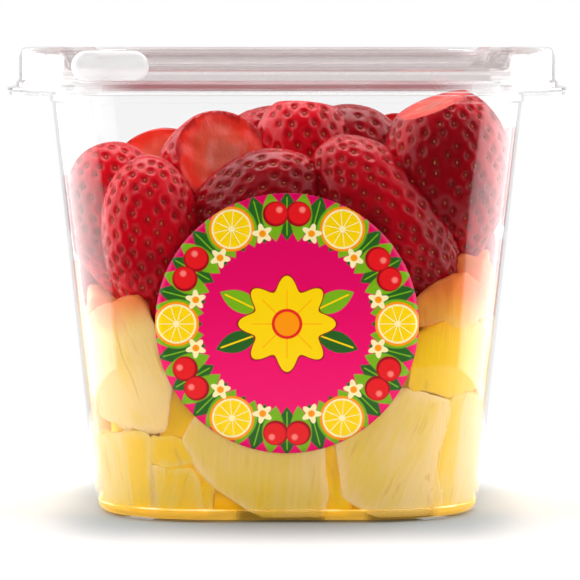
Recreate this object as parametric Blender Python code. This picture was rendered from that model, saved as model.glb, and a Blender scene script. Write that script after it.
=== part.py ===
"""A shut clear cup of cut fruit: a tapered square tub with round corners, its press-on lid, a round
label on the front wall, and strawberries over pineapple inside.

Metres, +Z up. The origin is the middle of the foot, on the table. The front, with the label, faces -Y.
"""
import math
import random
from collections import namedtuple

import bmesh
import bpy
from mathutils import Matrix, Vector

MM = 0.001
GAP = 0.35 * MM
CORNER_STEPS = 7

# Tub: half widths are measured outside, at the middle of a side
BASE_HALF = 46.3 * MM
BASE_RADIUS = 27.0 * MM
BASE_ROUNDING = 2.7 * MM
FOOT_ARCH = 0.2 * MM
FOOT_PAD = 0.13
PUSH_UP = 1.2 * MM
PUSH_UP_HALF = 37.5 * MM
PUSH_UP_SLOPE = 1.5 * MM
PUSH_UP_RADIUS = BASE_RADIUS - 8.0 * MM
MOUTH_HALF = 55.8 * MM
MOUTH_RADIUS = 20.0 * MM
MOUTH_Z = 99.4 * MM
STEP_OUT = 0.5 * MM
WALL = 0.7 * MM
TUB_FLANGE_HALF = 65.6 * MM
TUB_FLANGE_UNDER = 101.5 * MM
TUB_FLANGE_TOP = 102.2 * MM
FLANGE_RADIUS = 23.0 * MM

# Lid
LIP_HALF = 66.0 * MM
LIP_UNDER = 102.55 * MM
LIP_TOP = 103.2 * MM
SKIRT_HALF = 63.3 * MM
SKIRT_RADIUS = 22.0 * MM
SKIRT_BEAD = 0.7 * MM
SKIRT_BEAD_TOP = 104.3 * MM
RIM_TOP = 111.5 * MM
RIM_ROUNDING = 1.4 * MM
RIM_INNER_HALF = 53.2 * MM
PANEL_HALF = 51.6 * MM
PANEL_TOP = 107.6 * MM
LID_WALL = 0.65 * MM
PANEL_STEP = 0.6 * MM
PANEL_STEP_WIDTH = 1.2 * MM
INNER_CORNER_INSET = 10.0 * MM
LUG_RISE = 1.2 * MM
LUG_FOOT = 3.2 * MM
LUG_ENDS = 0.1
LUG_NOTCH = 0.08
LUG_NOTCH_TURN = 0.41
FRONT_LEFT, FRONT_RIGHT = 2, 3
THUMB_PAD_PLACE = (-41.0 * MM, 108.3 * MM)
THUMB_PAD_LENGTH = 18.0 * MM
THUMB_PAD_HEIGHT = 7.2 * MM
THUMB_PAD_PROUD = 0.45 * MM

# Label
LABEL_RADIUS = 31.0 * MM
LABEL_Z = 47.7 * MM
LABEL_THICK = 0.3 * MM
LABEL_STRIP = 1.15 * LABEL_RADIUS
LABEL_CUTTER_DEPTH = 30.0 * MM

# Room for the fruit
HEAP_FLOOR = 2.3 * MM
HEAP_ROOM_TOP = 106.5 * MM
HEAP_NECK_HALF = 50.8 * MM
PINEAPPLE_CORE_HALF = 36.0 * MM
PINEAPPLE_CORE_TOP = 45.0 * MM
BERRY_CORE_HALF = 38.0 * MM
BERRY_CORE_BOTTOM = 52.0 * MM
BERRY_CORE_TOP = 75.0 * MM
BERRY_CLEARANCE = 1.4 * GAP

COLOURS = {
    "clear plastic": ((0.90, 0.91, 0.92), 0.08),
    "label paper": ((0.80, 0.0, 0.15), 0.35),
    "strawberry": ((0.50, 0.005, 0.01), 0.25),
    "pineapple": ((0.85, 0.62, 0.18), 0.40),
}

# place: middle of the fruit; tip: the way its point faces; cut: the way a sliced face looks, and how
# far from the middle the slice lies
Berry = namedtuple("Berry", "place tip length width cut")

FRONT_BERRIES = [
    Berry((-40, -22, 70), (0.25, -0.1, -1), 40, 27, None),
    Berry((-32, -40, 66.5), (0.06, 0, -1), 41, 24, None),
    Berry((-18, -24, 83), (-0.5, 0.75, -0.35), 36, 26, ((0.3, -0.85, 0.4), 8)),
    Berry((-30, -3, 79.5), (0.1, 0.85, -0.6), 30, 24, ((-0.1, -0.8, 0.6), 7)),
    Berry((-7.5, -38, 74.5), (-0.93, -0.05, -0.35), 37, 25, None),
    Berry((5, -19, 86), (0.3, -0.35, -0.9), 31, 26, ((0.1, 0.2, 1), 12)),
    Berry((18.5, -16, 83.5), (0.65, -0.25, -0.7), 34, 25, None),
    Berry((-6, 2, 84), (-0.5, 0.4, -0.6), 30, 24, None),
    Berry((24, -37.5, 70.5), (0.64, -0.05, -0.76), 50, 27.5, None),
    Berry((38.5, -32, 81.7), (0.12, 0.05, -1), 43, 31, ((-0.34, -0.18, 0.92), 17.5)),
    Berry((27, -4, 83), (0.1, 0.9, -0.4), 30, 24, ((-0.1, -0.95, 0.3), 6)),
    Berry((42, -2, 80), (0.3, 0.4, -0.9), 34, 25, None),
    Berry((-9, -38, 55), (0.8, 0.1, -0.5), 34, 23, None),
    Berry((14, -34, 56), (0.2, 0.2, -1), 30, 22, None),
]

# Pineapple pieces against the front wall: outline (across, height), how far back from the wall, depth
FRONT_CHUNKS = [
    ([(-50, 46), (-46, 51.5), (-35, 55.5), (-28, 43), (-26.6, 32), (-28.8, 21.3), (-45, 21.8),
      (-49, 36)], 0, 24),
    ([(-47, 21.6), (-32.2, 21.6), (-32.6, 13), (-32.2, 2.6), (-46, 2.6)], 0, 22),
    ([(-33.4, 21.4), (-25, 21), (-20.8, 15.3), (-22.6, 13.3), (-33.4, 13.3)], 0.5, 20),
    ([(-33.6, 13.6), (-22.4, 13.6), (-20.2, 8.7), (-18.8, 2.4), (-33.4, 2.4)], 0.2, 20),
    ([(-31, 33), (-18, 35), (-14, 22), (-18, 2.4), (-30, 10)], 3, 20),
    ([(-26.2, 19.7), (-23.6, 24.4), (-17, 29), (9, 33), (9.8, 13.4), (10.6, 6.3), (9, 1.5),
      (-5.9, 1.5), (-16.4, 6.8), (-21.2, 12.4)], 0, 18),
    ([(6, 32), (16, 32), (15, 2.6), (6, 2.6)], 3, 18),
    ([(10.8, 19.3), (13.8, 31.5), (26, 33.6), (40.3, 29.2), (38.3, 20.4), (36, 12), (38.4, 2.8),
      (21.8, 2.4), (13, 5.2)], 0, 20),
    ([(36, 31), (47, 31), (48, 18), (47, 2.6), (34, 2.6)], 5, 20),
    ([(29, 45), (35.9, 49), (46.5, 49), (49.6, 42), (49.6, 30.4), (40.6, 29.2), (28, 31.6)], 1, 22),
    ([(27, 52), (35.9, 58), (43, 60), (49, 55), (48.5, 47), (35.9, 46.4), (26, 45)], 4, 18),
    ([(40, 64), (47, 63), (52, 56), (50, 48), (43, 48), (39, 55)], 9, 18),
    ([(-26, 44), (-8, 48), (3, 41), (1, 30), (-24, 31)], 1.5, 20),
    ([(1, 46), (20, 48), (30, 38), (26, 32), (2, 34)], 1.5, 20),
]

# The same against the side walls, near the front, with the wall's turn from the front wall
RIGHT_WALL, LEFT_WALL = math.pi / 2, -math.pi / 2
CORNER_CHUNKS = [
    ([(-30, 47), (-31, 58), (-22, 64), (-8, 62), (-2, 52), (-8, 44)], 3, 18, RIGHT_WALL),
    ([(-30, 46), (-16, 46), (-14, 28), (-30, 26)], 5, 18, RIGHT_WALL),
    ([(-4, 50), (4, 56), (20, 55), (28, 50), (26, 40), (0, 42)], 3, 18, LEFT_WALL),
]

# Rows round the other walls: height, and how far to the front the row starts
SIDE_BERRY_ROWS = ((63 * MM, 1 * MM), (78 * MM, -18 * MM))
SIDE_CHUNK_ROWS = ((12.5 * MM, -20 * MM), (32 * MM, -22 * MM), (48.5 * MM, -12 * MM))
MIDDLE_BERRIES = ((-14, 18), (14, 17), (0, 1))
LEFT_SIDE = -25 * MM
RIGHT_SIDE = 30 * MM
RIGHT_PINEAPPLE_END = 14 * MM
LEFT_BERRY_DROP = 7 * MM
BERRY_SPACING = 26 * MM
CHUNK_SPACING = 25 * MM
CHUNK_BEVEL = 1.4 * MM
CHUNK_SIZE = 14.5 * MM
CHUNK_DEPTH = 22 * MM
BERRY_INSET = 12.5 * MM
BERRY_HIGHEST = 81 * MM
FRUIT_SEED = 21


def clear_scene():
    for obj in list(bpy.data.objects):
        bpy.data.objects.remove(obj, do_unlink=True)


def new_collection(name):
    collection = bpy.data.collections.new(name)
    bpy.context.scene.collection.children.link(collection)
    return collection


def object_from(name, bm, collection):
    """A new object from this bmesh, its faces turned outwards."""
    bmesh.ops.recalc_face_normals(bm, faces=bm.faces)
    mesh = bpy.data.meshes.new(name)
    bm.to_mesh(mesh)
    bm.free()
    obj = bpy.data.objects.new(name, mesh)
    collection.objects.link(obj)
    return obj


def material(name):
    colour, roughness = COLOURS[name]
    made = bpy.data.materials.new(name)
    made.use_nodes = True
    shader = made.node_tree.nodes["Principled BSDF"]
    shader.inputs["Base Color"].default_value = (*colour, 1)
    shader.inputs["Roughness"].default_value = roughness
    shader.inputs["Metallic"].default_value = 0
    return made


def tub_half(z):
    """Half width of the tub's tapered wall, outside, at a height."""
    share = (z - BASE_ROUNDING) / (MOUTH_Z - BASE_ROUNDING)
    return BASE_HALF + share * (MOUTH_HALF - BASE_HALF)


def tub_radius(z):
    share = (z - BASE_ROUNDING) / (MOUTH_Z - BASE_ROUNDING)
    return BASE_RADIUS + share * (MOUTH_RADIUS - BASE_RADIUS)


def ring(half, radius, z, lug=0.0):
    """Points round a square with round corners. lug lifts both front corners, with a notch in each."""
    points = []
    for corner in range(4):
        start = corner * math.pi / 2
        for step in range(CORNER_STEPS + 1):
            turn = step / CORNER_STEPS
            angle = start + turn * math.pi / 2
            centre = half - radius
            middle = start + math.pi / 4
            x = centre * math.copysign(1, math.cos(middle)) + radius * math.cos(angle)
            y = centre * math.copysign(1, math.sin(middle)) + radius * math.sin(angle)
            from_front = 1 - turn if corner == FRONT_LEFT else turn
            between = LUG_ENDS < turn < 1 - LUG_ENDS and abs(from_front - LUG_NOTCH_TURN) > LUG_NOTCH
            lifted = lug if between and corner in (FRONT_LEFT, FRONT_RIGHT) else 0.0
            points.append((x, y, z + lifted))
    return points


def loft(rings):
    """A closed body through rings of points, with a flat face over the first and the last."""
    bm = bmesh.new()
    loops = [[bm.verts.new(point) for point in points] for points in rings]
    count = len(rings[0])
    for lower, upper in zip(loops, loops[1:]):
        for i in range(count):
            j = (i + 1) % count
            bm.faces.new((lower[i], lower[j], upper[j], upper[i]))
    bm.faces.new(loops[0][::-1])
    bm.faces.new(loops[-1])
    return bm


def wall_ring(z, offset):
    """A ring round the tapered wall, moved outwards by the offset."""
    return ring(tub_half(z) + offset, tub_radius(z) + offset, z)


def foot_ring(half, radius, height=0.0):
    """A ring of the foot, which touches down at its four corners and arches a little between them."""
    points = ring(half, radius, height)
    for index, (x, y, z) in enumerate(points):
        turn = index % (CORNER_STEPS + 1) / CORNER_STEPS
        arch = 0.0 if abs(turn - 0.5) < FOOT_PAD else FOOT_ARCH
        points[index] = (x, y, z + arch)
    return points


def foot_arc(offset, steps=3):
    """Rings of the rounded bottom edge, from the foot up to the wall, moved inwards by the offset."""
    rings = []
    reach = BASE_ROUNDING - offset
    for step in range(steps + 1):
        angle = math.pi / 2 * step / steps
        half = BASE_HALF - BASE_ROUNDING + reach * math.sin(angle)
        z = BASE_ROUNDING - reach * math.cos(angle)
        rings.append(ring(half, BASE_RADIUS - BASE_ROUNDING + reach * math.sin(angle), z))
    return rings


def make_tub(collection):
    foot_inner = PUSH_UP_HALF + PUSH_UP_SLOPE
    inner_mouth = MOUTH_HALF + STEP_OUT - WALL
    outside = [ring(PUSH_UP_HALF, PUSH_UP_RADIUS, PUSH_UP), foot_ring(foot_inner, PUSH_UP_RADIUS)]
    outside.append(foot_ring(BASE_HALF - BASE_ROUNDING, BASE_RADIUS - BASE_ROUNDING))
    outside += foot_arc(0)[1:]
    outside += [
        wall_ring(MOUTH_Z, 0),
        ring(MOUTH_HALF + STEP_OUT, MOUTH_RADIUS, MOUTH_Z + STEP_OUT),
        ring(MOUTH_HALF + STEP_OUT, MOUTH_RADIUS, TUB_FLANGE_UNDER),
        ring(TUB_FLANGE_HALF, FLANGE_RADIUS, TUB_FLANGE_UNDER),
        ring(TUB_FLANGE_HALF, FLANGE_RADIUS, TUB_FLANGE_TOP),
    ]
    inside = [
        ring(inner_mouth, MOUTH_RADIUS - WALL, TUB_FLANGE_TOP),
        ring(inner_mouth, MOUTH_RADIUS - WALL, MOUTH_Z + STEP_OUT),
        wall_ring(MOUTH_Z, -WALL),
    ]
    inside += foot_arc(WALL)[::-1]
    inside += [
        ring(foot_inner + WALL / 2, PUSH_UP_RADIUS, WALL),
        ring(PUSH_UP_HALF + WALL / 2, PUSH_UP_RADIUS, PUSH_UP + WALL),
    ]
    return object_from("tub", loft(outside + inside), collection)


def lid_rings(offset):
    """Rings of the lid's outer skin from the recessed panel out, over the rim and down the skirt."""
    corner = SKIRT_RADIUS + offset
    inner = corner - INNER_CORNER_INSET
    rim = RIM_TOP + offset
    rings = [
        ring(PANEL_HALF - PANEL_STEP_WIDTH - offset, inner - 1 * MM, PANEL_TOP + offset),
        ring(PANEL_HALF - offset, inner, PANEL_TOP + PANEL_STEP + offset),
        ring(RIM_INNER_HALF - 0.5 * MM - offset, inner, rim - PANEL_STEP, LUG_RISE),
        ring(RIM_INNER_HALF + PANEL_STEP, inner, rim, LUG_RISE),
    ]
    for step in range(3):
        angle = math.pi / 2 * step / 2
        inset = RIM_ROUNDING * (1 - math.sin(angle))
        drop = RIM_ROUNDING * (1 - math.cos(angle))
        rings.append(ring(SKIRT_HALF - inset + offset, corner - inset, rim - drop, LUG_RISE))
    rings.append(ring(SKIRT_HALF + offset, corner, RIM_TOP - LUG_FOOT))
    return rings


def make_lid(collection):
    outside = lid_rings(0)
    outside += [
        ring(SKIRT_HALF, SKIRT_RADIUS, SKIRT_BEAD_TOP + SKIRT_BEAD),
        ring(SKIRT_HALF + SKIRT_BEAD, SKIRT_RADIUS + SKIRT_BEAD, SKIRT_BEAD_TOP),
        ring(SKIRT_HALF + SKIRT_BEAD, SKIRT_RADIUS + SKIRT_BEAD, LIP_TOP),
        ring(LIP_HALF, FLANGE_RADIUS, LIP_TOP),
        ring(LIP_HALF, FLANGE_RADIUS, LIP_UNDER),
        ring(SKIRT_HALF + SKIRT_BEAD - LID_WALL, SKIRT_RADIUS, LIP_UNDER),
        ring(SKIRT_HALF + SKIRT_BEAD - LID_WALL, SKIRT_RADIUS, SKIRT_BEAD_TOP - 0.2 * MM),
        ring(SKIRT_HALF - LID_WALL, SKIRT_RADIUS - LID_WALL, SKIRT_BEAD_TOP + 0.6 * MM),
    ]
    return object_from("lid", loft(outside + lid_rings(-LID_WALL)[::-1]), collection)


def stadium(length, height, steps=6):
    """Outline of an oval pad with round ends, (across, up) about its middle."""
    radius = height / 2
    reach = length / 2 - radius
    points = []
    for side in (1, -1):
        for step in range(steps + 1):
            angle = -math.pi / 2 + math.pi * step / steps
            points.append((side * (reach + radius * math.cos(angle)), side * radius * math.sin(angle)))
    return points


def prism(outline, front, back):
    """A straight prism along Y from an outline of (x, z) points."""
    bm = bmesh.new()
    face = bm.faces.new([bm.verts.new((x, front, z)) for x, z in outline])
    pushed = bmesh.ops.extrude_face_region(bm, geom=[face])["geom"]
    moved = [part for part in pushed if isinstance(part, bmesh.types.BMVert)]
    bmesh.ops.translate(bm, verts=moved, vec=(0, back - front, 0))
    return bm


def boolean(target, other, operation, solver="EXACT"):
    """Cut or join and apply. other is an object or a collection, and its objects are removed."""
    modifier = target.modifiers.new(operation.lower(), "BOOLEAN")
    modifier.operation = operation
    modifier.solver = solver
    if isinstance(other, bpy.types.Collection):
        modifier.operand_type = "COLLECTION"
        modifier.collection = other
        used = list(other.objects)
    else:
        modifier.object = other
        used = [other]
    graph = bpy.context.evaluated_depsgraph_get()
    result = bpy.data.meshes.new_from_object(target.evaluated_get(graph))
    target.modifiers.clear()
    target.data = result
    for obj in used:
        bpy.data.objects.remove(obj, do_unlink=True)


def add_thumb_pad(lid, cutters):
    """The oval press pad on the lid's front, left of the middle, standing a little proud of the skirt."""
    across, up = THUMB_PAD_PLACE
    outline = [(across + x, up + z) for x, z in stadium(THUMB_PAD_LENGTH, THUMB_PAD_HEIGHT)]
    pad = object_from("thumb pad", prism(outline, -LIP_HALF, -SKIRT_HALF + SKIRT_RADIUS), cutters)
    low, high = SKIRT_BEAD_TOP - 1 * MM, RIM_TOP + 2 * MM
    for out, operation in ((THUMB_PAD_PROUD, "INTERSECT"), (-LID_WALL / 2, "DIFFERENCE")):
        block = loft([ring(SKIRT_HALF + out, SKIRT_RADIUS + out, z) for z in (low, high)])
        boolean(pad, object_from("pad block", block, cutters), operation)
    boolean(lid, pad, "UNION")


def make_label(collection, cutters):
    """A thin disc that lies on the front wall and follows it round towards the corners."""
    low, high = LABEL_Z - LABEL_STRIP, LABEL_Z + LABEL_STRIP
    inner, outer = GAP, GAP + LABEL_THICK
    skin = object_from("label", loft([wall_ring(low, outer), wall_ring(high, outer)]), collection)
    backing = loft([wall_ring(low - 1 * MM, inner), wall_ring(high + 1 * MM, inner)])
    boolean(skin, object_from("backing", backing, cutters), "DIFFERENCE")
    disc = bmesh.new()
    bmesh.ops.create_cone(disc, cap_ends=True, segments=56, radius1=LABEL_RADIUS, radius2=LABEL_RADIUS,
                          depth=LABEL_CUTTER_DEPTH)
    lean = math.atan((tub_half(high) - tub_half(low)) / (high - low))
    bmesh.ops.transform(disc, verts=disc.verts, matrix=Matrix.Translation((0, -tub_half(LABEL_Z), LABEL_Z))
                        @ Matrix.Rotation(math.pi / 2 - lean, 4, "X"))
    boolean(skin, object_from("disc", disc, cutters), "INTERSECT")
    return skin


def add_berry(bm, berry, grow=0.0):
    """A coarse strawberry: a round shouldered body that narrows to its tip, sliced flat where it is cut."""
    made = bmesh.ops.create_uvsphere(bm, u_segments=12, v_segments=8, radius=1)["verts"]
    across, along = berry.width * MM / 2 + grow, berry.length * MM / 2 + grow
    for vert in made:
        height = vert.co.z
        belly = 1.0 + 0.15 * height - 0.12 * height * height
        vert.co = (vert.co.x * across * belly, vert.co.y * across * belly, height * along)
    turned = Vector(berry.tip).to_track_quat("-Z", "Y").to_matrix().to_4x4()
    place = Vector(berry.place) * MM
    bmesh.ops.transform(bm, verts=made, matrix=Matrix.Translation(place) @ turned)
    if not berry.cut:
        return
    normal = Vector(berry.cut[0]).normalized()
    faces = {face for vert in made for face in vert.link_faces}
    edges = {edge for vert in made for edge in vert.link_edges}
    sliced = bmesh.ops.bisect_plane(bm, geom=[*made, *edges, *faces], dist=0.001 * MM, clear_outer=True,
                                    plane_co=place + normal * (berry.cut[1] * MM + grow), plane_no=normal)
    rim = [part for part in sliced["geom_cut"] if isinstance(part, bmesh.types.BMEdge)]
    bmesh.ops.contextual_create(bm, geom=rim)


def add_chunk(bm, outline, front, depth, turn=0.0):
    """A pineapple piece: an outline pushed back from the wall, narrower behind, with rounded edges."""
    face = bm.faces.new([bm.verts.new((x, front, z)) for x, z in outline])
    pushed = bmesh.ops.extrude_face_region(bm, geom=[face])["geom"]
    behind = [part for part in pushed if isinstance(part, bmesh.types.BMVert)]
    middle = sum((vert.co for vert in behind), Vector()) / len(behind)
    bmesh.ops.scale(bm, verts=behind, vec=(0.85, 1, 0.85), space=Matrix.Translation(-middle))
    bmesh.ops.translate(bm, verts=behind, vec=(0, depth, 0))
    bmesh.ops.recalc_face_normals(bm, faces=bm.faces)
    bmesh.ops.bevel(bm, geom=list(bm.edges), offset=CHUNK_BEVEL, affect="EDGES", segments=1,
                    profile=0.5, material=-1)
    bmesh.ops.rotate(bm, verts=bm.verts, cent=(0, 0, 0), matrix=Matrix.Rotation(turn, 3, "Z"))


def round_the_walls(half, spacing):
    """Places and wall angles at even steps round a square, from the front's right corner to its left."""
    per_side = max(2, round(2 * half / spacing))
    for side in range(4):
        for step in range(per_side):
            along = -half + (step + 0.5) * 2 * half / per_side
            turn = side * math.pi / 2
            yield Matrix.Rotation(turn, 3, "Z") @ Vector((along, -half, 0)), turn


def side_berries():
    """Strawberries behind and beside the ones at the front, in rows round the walls and one in the middle."""
    draw = random.Random(FRUIT_SEED)
    taken = [(Vector(berry.place) * MM, berry.width * MM / 2) for berry in FRONT_BERRIES]
    loose = []
    for z, first_y in SIDE_BERRY_ROWS:
        spots = [place for place, _ in round_the_walls(tub_half(z) - WALL - BERRY_INSET, BERRY_SPACING)]
        spots += [Vector((x * MM, y * MM, 0)) for x, y in MIDDLE_BERRIES]
        for place in spots:
            lowest_row = z == SIDE_BERRY_ROWS[0][0]
            under_right = lowest_row and place.x > RIGHT_SIDE and place.y < RIGHT_PINEAPPLE_END
            if place.y < first_y or under_right:
                continue
            width = draw.uniform(22.5, 26) * MM
            tip = (draw.uniform(-1, 1), draw.uniform(-1, 1), draw.uniform(-1.2, 0.2))
            height = z + draw.uniform(-2, 2) * MM - (LEFT_BERRY_DROP if place.x < LEFT_SIDE else 0)
            loose.append([Vector((place.x, place.y, height)), width, tip, draw.uniform(1.25, 1.5)])
    settle(loose, taken)
    return [Berry(tuple(place / MM), tip, width / MM * longer, width / MM, None)
            for place, width, tip, longer in loose]


def settle(loose, taken, rounds=40):
    """Pushes loose fruit off its neighbours and back inside the walls, a little each round."""
    for _ in range(rounds):
        for index, item in enumerate(loose):
            others = taken + [(other[0], other[1] / 2) for i, other in enumerate(loose) if i != index]
            for place, radius in others:
                apart = item[0] - place
                short = 0.95 * (radius + item[1] / 2) - apart.length
                if short > 0:
                    item[0] = item[0] + apart.normalized() * short * 0.5
            inside = tub_half(item[0].z) - WALL - 0.45 * item[1]
            item[0].x = max(-inside, min(inside, item[0].x))
            item[0].y = max(-inside, min(inside, item[0].y))
            highest = BERRY_HIGHEST - (LEFT_BERRY_DROP if item[0].x < LEFT_SIDE else 0)
            item[0].z = max(SIDE_BERRY_ROWS[0][0] - 5 * MM, min(highest, item[0].z))


def side_chunks():
    """Pineapple pieces behind and beside the ones at the front, in rows round the walls."""
    draw = random.Random(FRUIT_SEED + 1)
    for row, (z, first_y) in enumerate(SIDE_CHUNK_ROWS):
        half = tub_half(z) - WALL
        for place, turn in round_the_walls(half - 2 * MM, CHUNK_SPACING):
            if place.y < first_y:
                continue
            along = (Matrix.Rotation(-turn, 3, "Z") @ place).x + (row % 2 - 0.5) * 7 * MM
            sides = draw.choice((5, 6))
            tilt = draw.uniform(0, math.pi)
            outline = []
            for corner in range(sides):
                angle = tilt - 2 * math.pi * corner / sides
                reach = CHUNK_SIZE * draw.uniform(0.9, 1.15)
                outline.append((along * 0.92 + reach * math.cos(angle), z + reach * 0.9 * math.sin(angle)))
            yield outline, -half - 1 * MM + draw.uniform(0, 3.5) * MM, CHUNK_DEPTH, turn


def fruit_room():
    """The space inside the tub and lid that fruit may fill."""
    inset = -WALL - GAP
    floor_half = BASE_HALF - BASE_ROUNDING + inset + 2 * MM
    return loft([
        ring(floor_half, BASE_RADIUS - BASE_ROUNDING, HEAP_FLOOR),
        wall_ring(BASE_ROUNDING + 1.8 * MM, inset),
        wall_ring(MOUTH_Z - 1 * MM, inset),
        ring(HEAP_NECK_HALF, MOUTH_RADIUS, MOUTH_Z + 2 * MM),
        ring(HEAP_NECK_HALF - 1.5 * MM, MOUTH_RADIUS, HEAP_ROOM_TOP),
    ])


def keep_largest_body(obj):
    """Drops loose scraps and sealed hollows that the cutting left, walking from face to face."""
    bm = bmesh.new()
    bm.from_mesh(obj.data)
    unseen = set(bm.faces)
    bodies = []
    while unseen:
        reached = [unseen.pop()]
        body = set(reached)
        while reached:
            face = reached.pop()
            near = {other for edge in face.edges for other in edge.link_faces} & unseen
            unseen -= near
            body |= near
            reached.extend(near)
        bodies.append(body)
    largest = max(bodies, key=len)
    bmesh.ops.delete(bm, geom=[face for face in bm.faces if face not in largest], context="FACES")
    bm.to_mesh(obj.data)
    bm.free()


def fused(name, core, pieces, collection, helpers):
    """One solid from a core and the bmeshes of the pieces that show on it."""
    heap = object_from(name, core, collection)
    parts = bpy.data.collections.new(name + " pieces")
    helpers.children.link(parts)
    for piece in pieces:
        object_from(name + " piece", piece, parts)
    boolean(heap, parts, "UNION", "MANIFOLD")
    bpy.data.collections.remove(parts)
    return heap


def berry_pieces(grow=0.0):
    for berry in FRONT_BERRIES + side_berries():
        bm = bmesh.new()
        add_berry(bm, berry, grow)
        yield bm


def chunk_pieces():
    for outline, setback, depth, turn in [(*chunk, 0.0) for chunk in FRONT_CHUNKS] + CORNER_CHUNKS:
        bm = bmesh.new()
        points = [(x * MM, z * MM) for x, z in outline]
        middle_z = sum(z for _, z in points) / len(points)
        front = -(tub_half(middle_z) - WALL) - 1 * MM + setback * MM
        add_chunk(bm, points, front, depth * MM, turn)
        yield bm
    for outline, front, depth, turn in side_chunks():
        bm = bmesh.new()
        add_chunk(bm, outline, front, depth, turn)
        yield bm


def berry_core(grow=0.0):
    return loft([
        ring(BERRY_CORE_HALF + grow, MOUTH_RADIUS, BERRY_CORE_BOTTOM - grow),
        ring(BERRY_CORE_HALF + grow, MOUTH_RADIUS, BERRY_CORE_TOP + grow),
    ])


def make_strawberries(name, collection, helpers, grow=0.0):
    return fused(name, berry_core(grow), berry_pieces(grow), collection, helpers)


def make_pineapple(collection, helpers):
    core = loft([
        ring(PINEAPPLE_CORE_HALF, MOUTH_RADIUS, HEAP_FLOOR + 0.5 * MM),
        ring(PINEAPPLE_CORE_HALF, MOUTH_RADIUS, PINEAPPLE_CORE_TOP),
    ])
    return fused("pineapple_heap", core, chunk_pieces(), collection, helpers)


def build():
    clear_scene()
    cup = new_collection("fruit cup")
    helpers = new_collection("cutters")
    plastic = material("clear plastic")

    tub = make_tub(cup)
    lid = make_lid(cup)
    add_thumb_pad(lid, helpers)
    label = make_label(cup, helpers)
    strawberries = make_strawberries("strawberry_heap", cup, helpers)
    boolean(strawberries, object_from("room", fruit_room(), helpers), "INTERSECT", "MANIFOLD")
    pineapple = make_pineapple(cup, helpers)
    boolean(pineapple, object_from("room", fruit_room(), helpers), "INTERSECT", "MANIFOLD")
    boolean(pineapple, make_strawberries("berry room", helpers, helpers, BERRY_CLEARANCE), "DIFFERENCE",
            "MANIFOLD")
    for heap in (strawberries, pineapple):
        keep_largest_body(heap)

    for obj, finish in ((tub, plastic), (lid, plastic), (label, material("label paper")),
                        (strawberries, material("strawberry")), (pineapple, material("pineapple"))):
        obj.data.materials.clear()
        obj.data.materials.append(finish)
        obj.data.shade_smooth()
        obj.data.set_sharp_from_angle(angle=math.radians(30))


build()
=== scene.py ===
# %% [markdown]
# # A shut cup of cut fruit
# The real thing is a clear square tub with a press-on lid, a round printed label, and strawberries
# lying on pieces of pineapple. The solids come ready made and stay where they are. This lesson
# gives each of them its real surface: thin clear plastic, ink on gloss paper, wet fruit.

# %% Load the fixed model
import math
import random
from collections import namedtuple

import bmesh
import bpy
import numpy as np
from mathutils import Matrix, Vector, kdtree, noise
from mathutils.bvhtree import BVHTree


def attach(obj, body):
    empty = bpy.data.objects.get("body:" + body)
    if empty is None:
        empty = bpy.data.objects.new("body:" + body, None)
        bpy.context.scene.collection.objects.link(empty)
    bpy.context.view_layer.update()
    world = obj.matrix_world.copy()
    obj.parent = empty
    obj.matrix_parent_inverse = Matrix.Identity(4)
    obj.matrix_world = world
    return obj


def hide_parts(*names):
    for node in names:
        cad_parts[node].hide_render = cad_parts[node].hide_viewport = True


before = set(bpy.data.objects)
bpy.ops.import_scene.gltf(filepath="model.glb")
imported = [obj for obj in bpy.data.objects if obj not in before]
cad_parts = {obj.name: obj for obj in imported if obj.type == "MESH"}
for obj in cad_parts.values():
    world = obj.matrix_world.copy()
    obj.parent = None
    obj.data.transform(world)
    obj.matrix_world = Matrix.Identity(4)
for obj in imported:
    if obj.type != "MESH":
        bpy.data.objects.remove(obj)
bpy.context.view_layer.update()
MM = 0.001
MERGE = 0.001 * MM
print("nodes in the frame:", sorted(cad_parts))

# %% [markdown]
# The camera stands a little over a metre in front of the cup, slightly above its lid, and looks
# down by a few degrees. A long lens from far away keeps the tub's sides nearly parallel.

# %% Camera
CAMERA_PLACE = (0.7 * MM, -1089 * MM, 123.7 * MM)
CAMERA_DOWN = 3.75
CAMERA_LENS, SENSOR_WIDTH = 274.8, 36

camera_data = bpy.data.cameras.new("camera")
camera_data.lens = CAMERA_LENS
camera_data.sensor_width = SENSOR_WIDTH
camera = bpy.data.objects.new("camera", camera_data)
camera.location = CAMERA_PLACE
camera.rotation_euler = (math.radians(90 - CAMERA_DOWN), 0, 0)
bpy.context.scene.collection.objects.link(camera)
bpy.context.scene.camera = camera
print("camera at", CAMERA_PLACE)

# %% [markdown]
# Clear plastic is only seen by what it mirrors. The room is a white sweep with one tall softbox on
# each side, so the tub's round corners each carry a soft upright band of light, and the fruit gets
# its highlights from the sides. One lamp hangs above, and a fill in front, which nothing mirrors,
# lifts the shadows. The room behind the camera is dark, which keeps the reds deep.

# %% Studio
FLOOR_RADIUS = 0.17
# brightness of the room by direction, from straight in front of the cup (0) to straight behind it (1)
ROOM = ((0.0, 0.06), (0.2, 0.03), (0.5, 0.42), (0.85, 0.42), (1.0, 0.85))


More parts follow.
